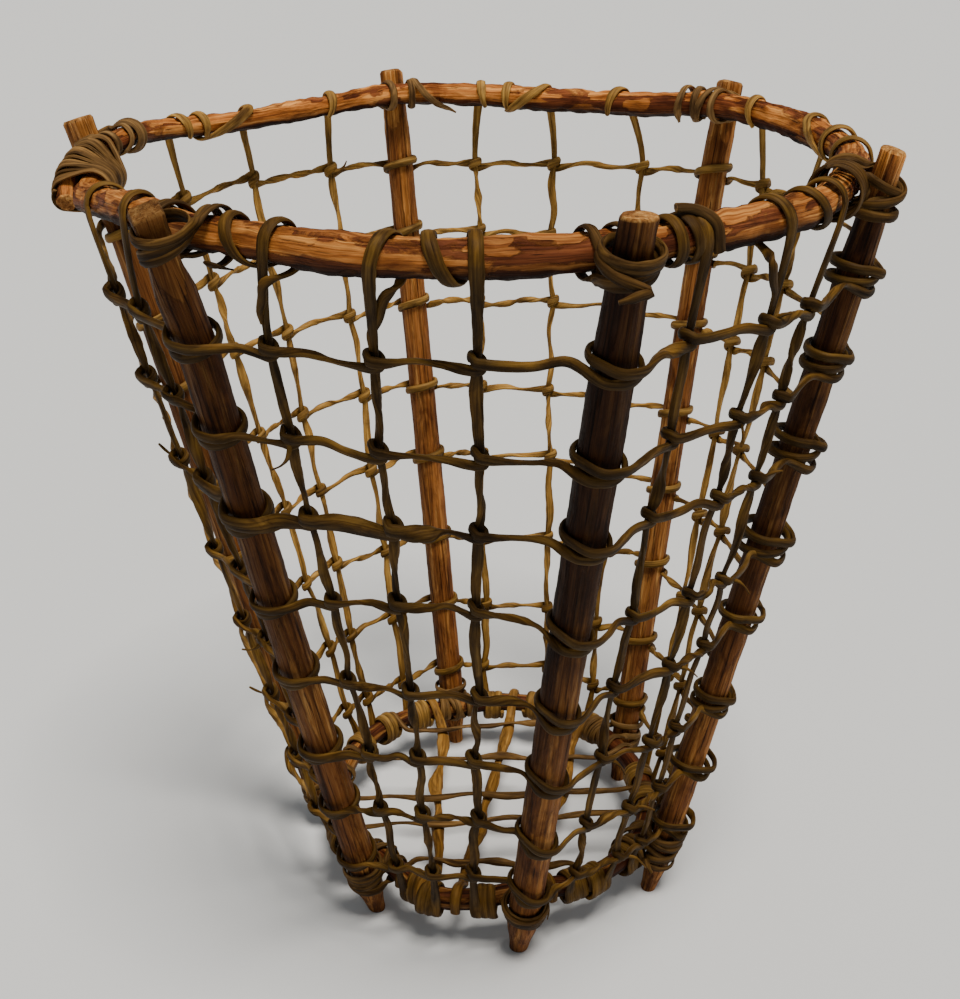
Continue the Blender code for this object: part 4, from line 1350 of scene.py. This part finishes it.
def floor_withe(name, run, level, section, sag, surface):
    """A withe across the floor, hooked over the base hoop at both ends, with knots and bends between."""
    halves = []
    for azimuth in run:
        hoop = hoop_point(azimuth)
        away = outward_of(hoop)
        inner = polar(azimuth, math.hypot(hoop.x, hoop.y) - FLOOR_APPROACH_LENGTH, HOOP_HEIGHT + level)
        half = [knot(inner, UP, 0.0, 1.0, 1.0)]
        for angle in FLOOR_HOOK_ANGLES:
            out = around_stick(away, angle)
            half.append(knot(hoop + out * (HOOP_STICK_RADIUS + section[1] * BED_SHARE), out, 0.0, 0.9, 0.8))
        halves.append(half)
    chance = random.Random(f"floor_{name}")
    first = Vector(halves[0][0][:3])
    last = Vector(halves[1][0][:3])
    middle = []
    for place, share in enumerate((0.12, 0.28, 0.42, 0.56, 0.70, 0.86)):
        spot = first.lerp(last, share) - UP * (sag * 4 * share * (1 - share))
        spot += Vector((chance.uniform(-1, 1), chance.uniform(-1, 1), 0)) * FLOOR_WANDER
        wide = chance.uniform(0.65, 0.85) if place % 2 == 0 else chance.uniform(1.25, 1.5)
        middle.append(knot(spot, UP, chance.uniform(-0.7, 0.7), wide, wide, chance.uniform(-0.12, 0.06)))
    knots = halves[0][::-1] + middle + halves[1]
    return strand(f"floor_{name}", knots, section, surface, "floor_withe", f"floor_withe_{name}")


GROUND_SIZE = 60.0
LAMP_PLACE = (0.30, -0.50, 2.2)
LAMP_AIM = (0, 0, 0.25)


def ground():
    bpy.ops.mesh.primitive_plane_add(size=GROUND_SIZE, location=(0, 0, 0))
    made = bpy.context.object
    made.name = "ground"
    paper = new_surface("pale_ground")
    shader = paper.node_tree.nodes["Principled BSDF"]
    shader.inputs["Base Color"].default_value = (0.76, 0.77, 0.77, 1.0)
    shader.inputs["Roughness"].default_value = 0.95
    made.data.materials.append(paper)


def lamp():
    light = bpy.data.lights.new("soft_top", "SUN")
    light.energy = 3.6
    light.angle = math.radians(20.0)
    light.color = (1.0, 0.95, 0.88)
    made = bpy.data.objects.new("soft_top", light)
    bpy.context.scene.collection.objects.link(made)
    made.location = LAMP_PLACE
    made.rotation_euler = (Vector(LAMP_AIM) - made.location).to_track_quat("-Z", "Y").to_euler()


def studio():
    ground()
    world = bpy.context.scene.world or bpy.data.worlds.new("World")
    bpy.context.scene.world = world
    world.use_nodes = True
    world.node_tree.nodes["Background"].inputs["Color"].default_value = (0.93, 0.97, 1.0, 1.0)
    world.node_tree.nodes["Background"].inputs["Strength"].default_value = 0.26
    lamp()


CAMERA_PLACE = (-0.0036, -0.7337, 0.6391)
CAMERA_PITCH = 26.199
CAMERA_ROLL = -0.867
CAMERA_LENS = 46.875
CAMERA_SENSOR = 36.0


def camera():
    pitch = math.radians(CAMERA_PITCH)
    roll = math.radians(CAMERA_ROLL)
    right = Vector((1, 0, 0))
    up = Vector((0, math.sin(pitch), math.cos(pitch)))
    ahead = Vector((0, math.cos(pitch), -math.sin(pitch)))
    leaning_right = right * math.cos(roll) + up * math.sin(roll)
    leaning_up = up * math.cos(roll) - right * math.sin(roll)
    lens = bpy.data.cameras.new("view")
    lens.sensor_fit = "HORIZONTAL"
    lens.sensor_width = CAMERA_SENSOR
    lens.lens = CAMERA_LENS
    seen = bpy.data.objects.new("view", lens)
    bpy.context.scene.collection.objects.link(seen)
    turned = Matrix((leaning_right, leaning_up, -ahead)).transposed().to_4x4()
    seen.matrix_world = Matrix.Translation(Vector(CAMERA_PLACE) + Vector((AXIS_X, AXIS_Y, 0))) @ turned
    bpy.context.scene.camera = seen


def main():
    stake_wood = stick_surface("stake_wood", BARE_WOOD, BROWN_BARK, 0.6, 0.12, STAKE_PATCH_LENGTH)
    rim_wood = stick_surface("rim_wood", ORANGE_WOOD, RED_BARK, 0.6, 0.28, RIM_PATCH_LENGTH)
    hoop_wood = stick_surface("hoop_wood", BARE_WOOD, RED_BARK, 0.6, 0.30, HOOP_PATCH_LENGTH)
    end_wood = stick_surface("cut_wood", CUT_WOOD, BARE_WOOD, 0.7, -1.4, CUT_PATCH_LENGTH)
    withe = strand_surface("withe", WITHE_COLOURS, 0.55)
    floor = strand_surface("floor_withe", FLOOR_COLOURS, 0.55)
    binding = strand_surface("binding", BINDING_COLOURS, 0.62)
    for stake in STAKES:
        stake_post(stake, stake_wood, end_wood)
    rim_stick(rim_wood, end_wood)
    foot_hoop(hoop_wood)
    for row in range(len(ROW_HEIGHT_SHARES)):
        weft_row(row, withe)
    for number, entry in enumerate(WARPS):
        warp(number, entry, withe)
    for number in FORKS:
        forked_leg(number, withe)
    loose_end(binding)
    for number, entry in enumerate(FRAYED_ENDS):
        frayed_end(number, entry, withe)
    for number, run in enumerate(FLOOR_RUNS_FRONT_TO_BACK):
        floor_withe(f"long_{number + 1}", run, -FLOOR_WITHE_RADIUS,
                    FLOOR_LONG_SECTION, FLOOR_LONG_SAG, floor)
    for number, run in enumerate(FLOOR_RUNS_ACROSS):
        floor_withe(f"cross_{number + 1}", run, FLOOR_WITHE_RADIUS,
                    FLOOR_CROSS_SECTION, FLOOR_CROSS_SAG, binding)
    for stake in STAKES:
        rim_bound(stake, binding)
        foot_bound(stake, binding)
    splice(binding)
    studio()
    camera()


main()
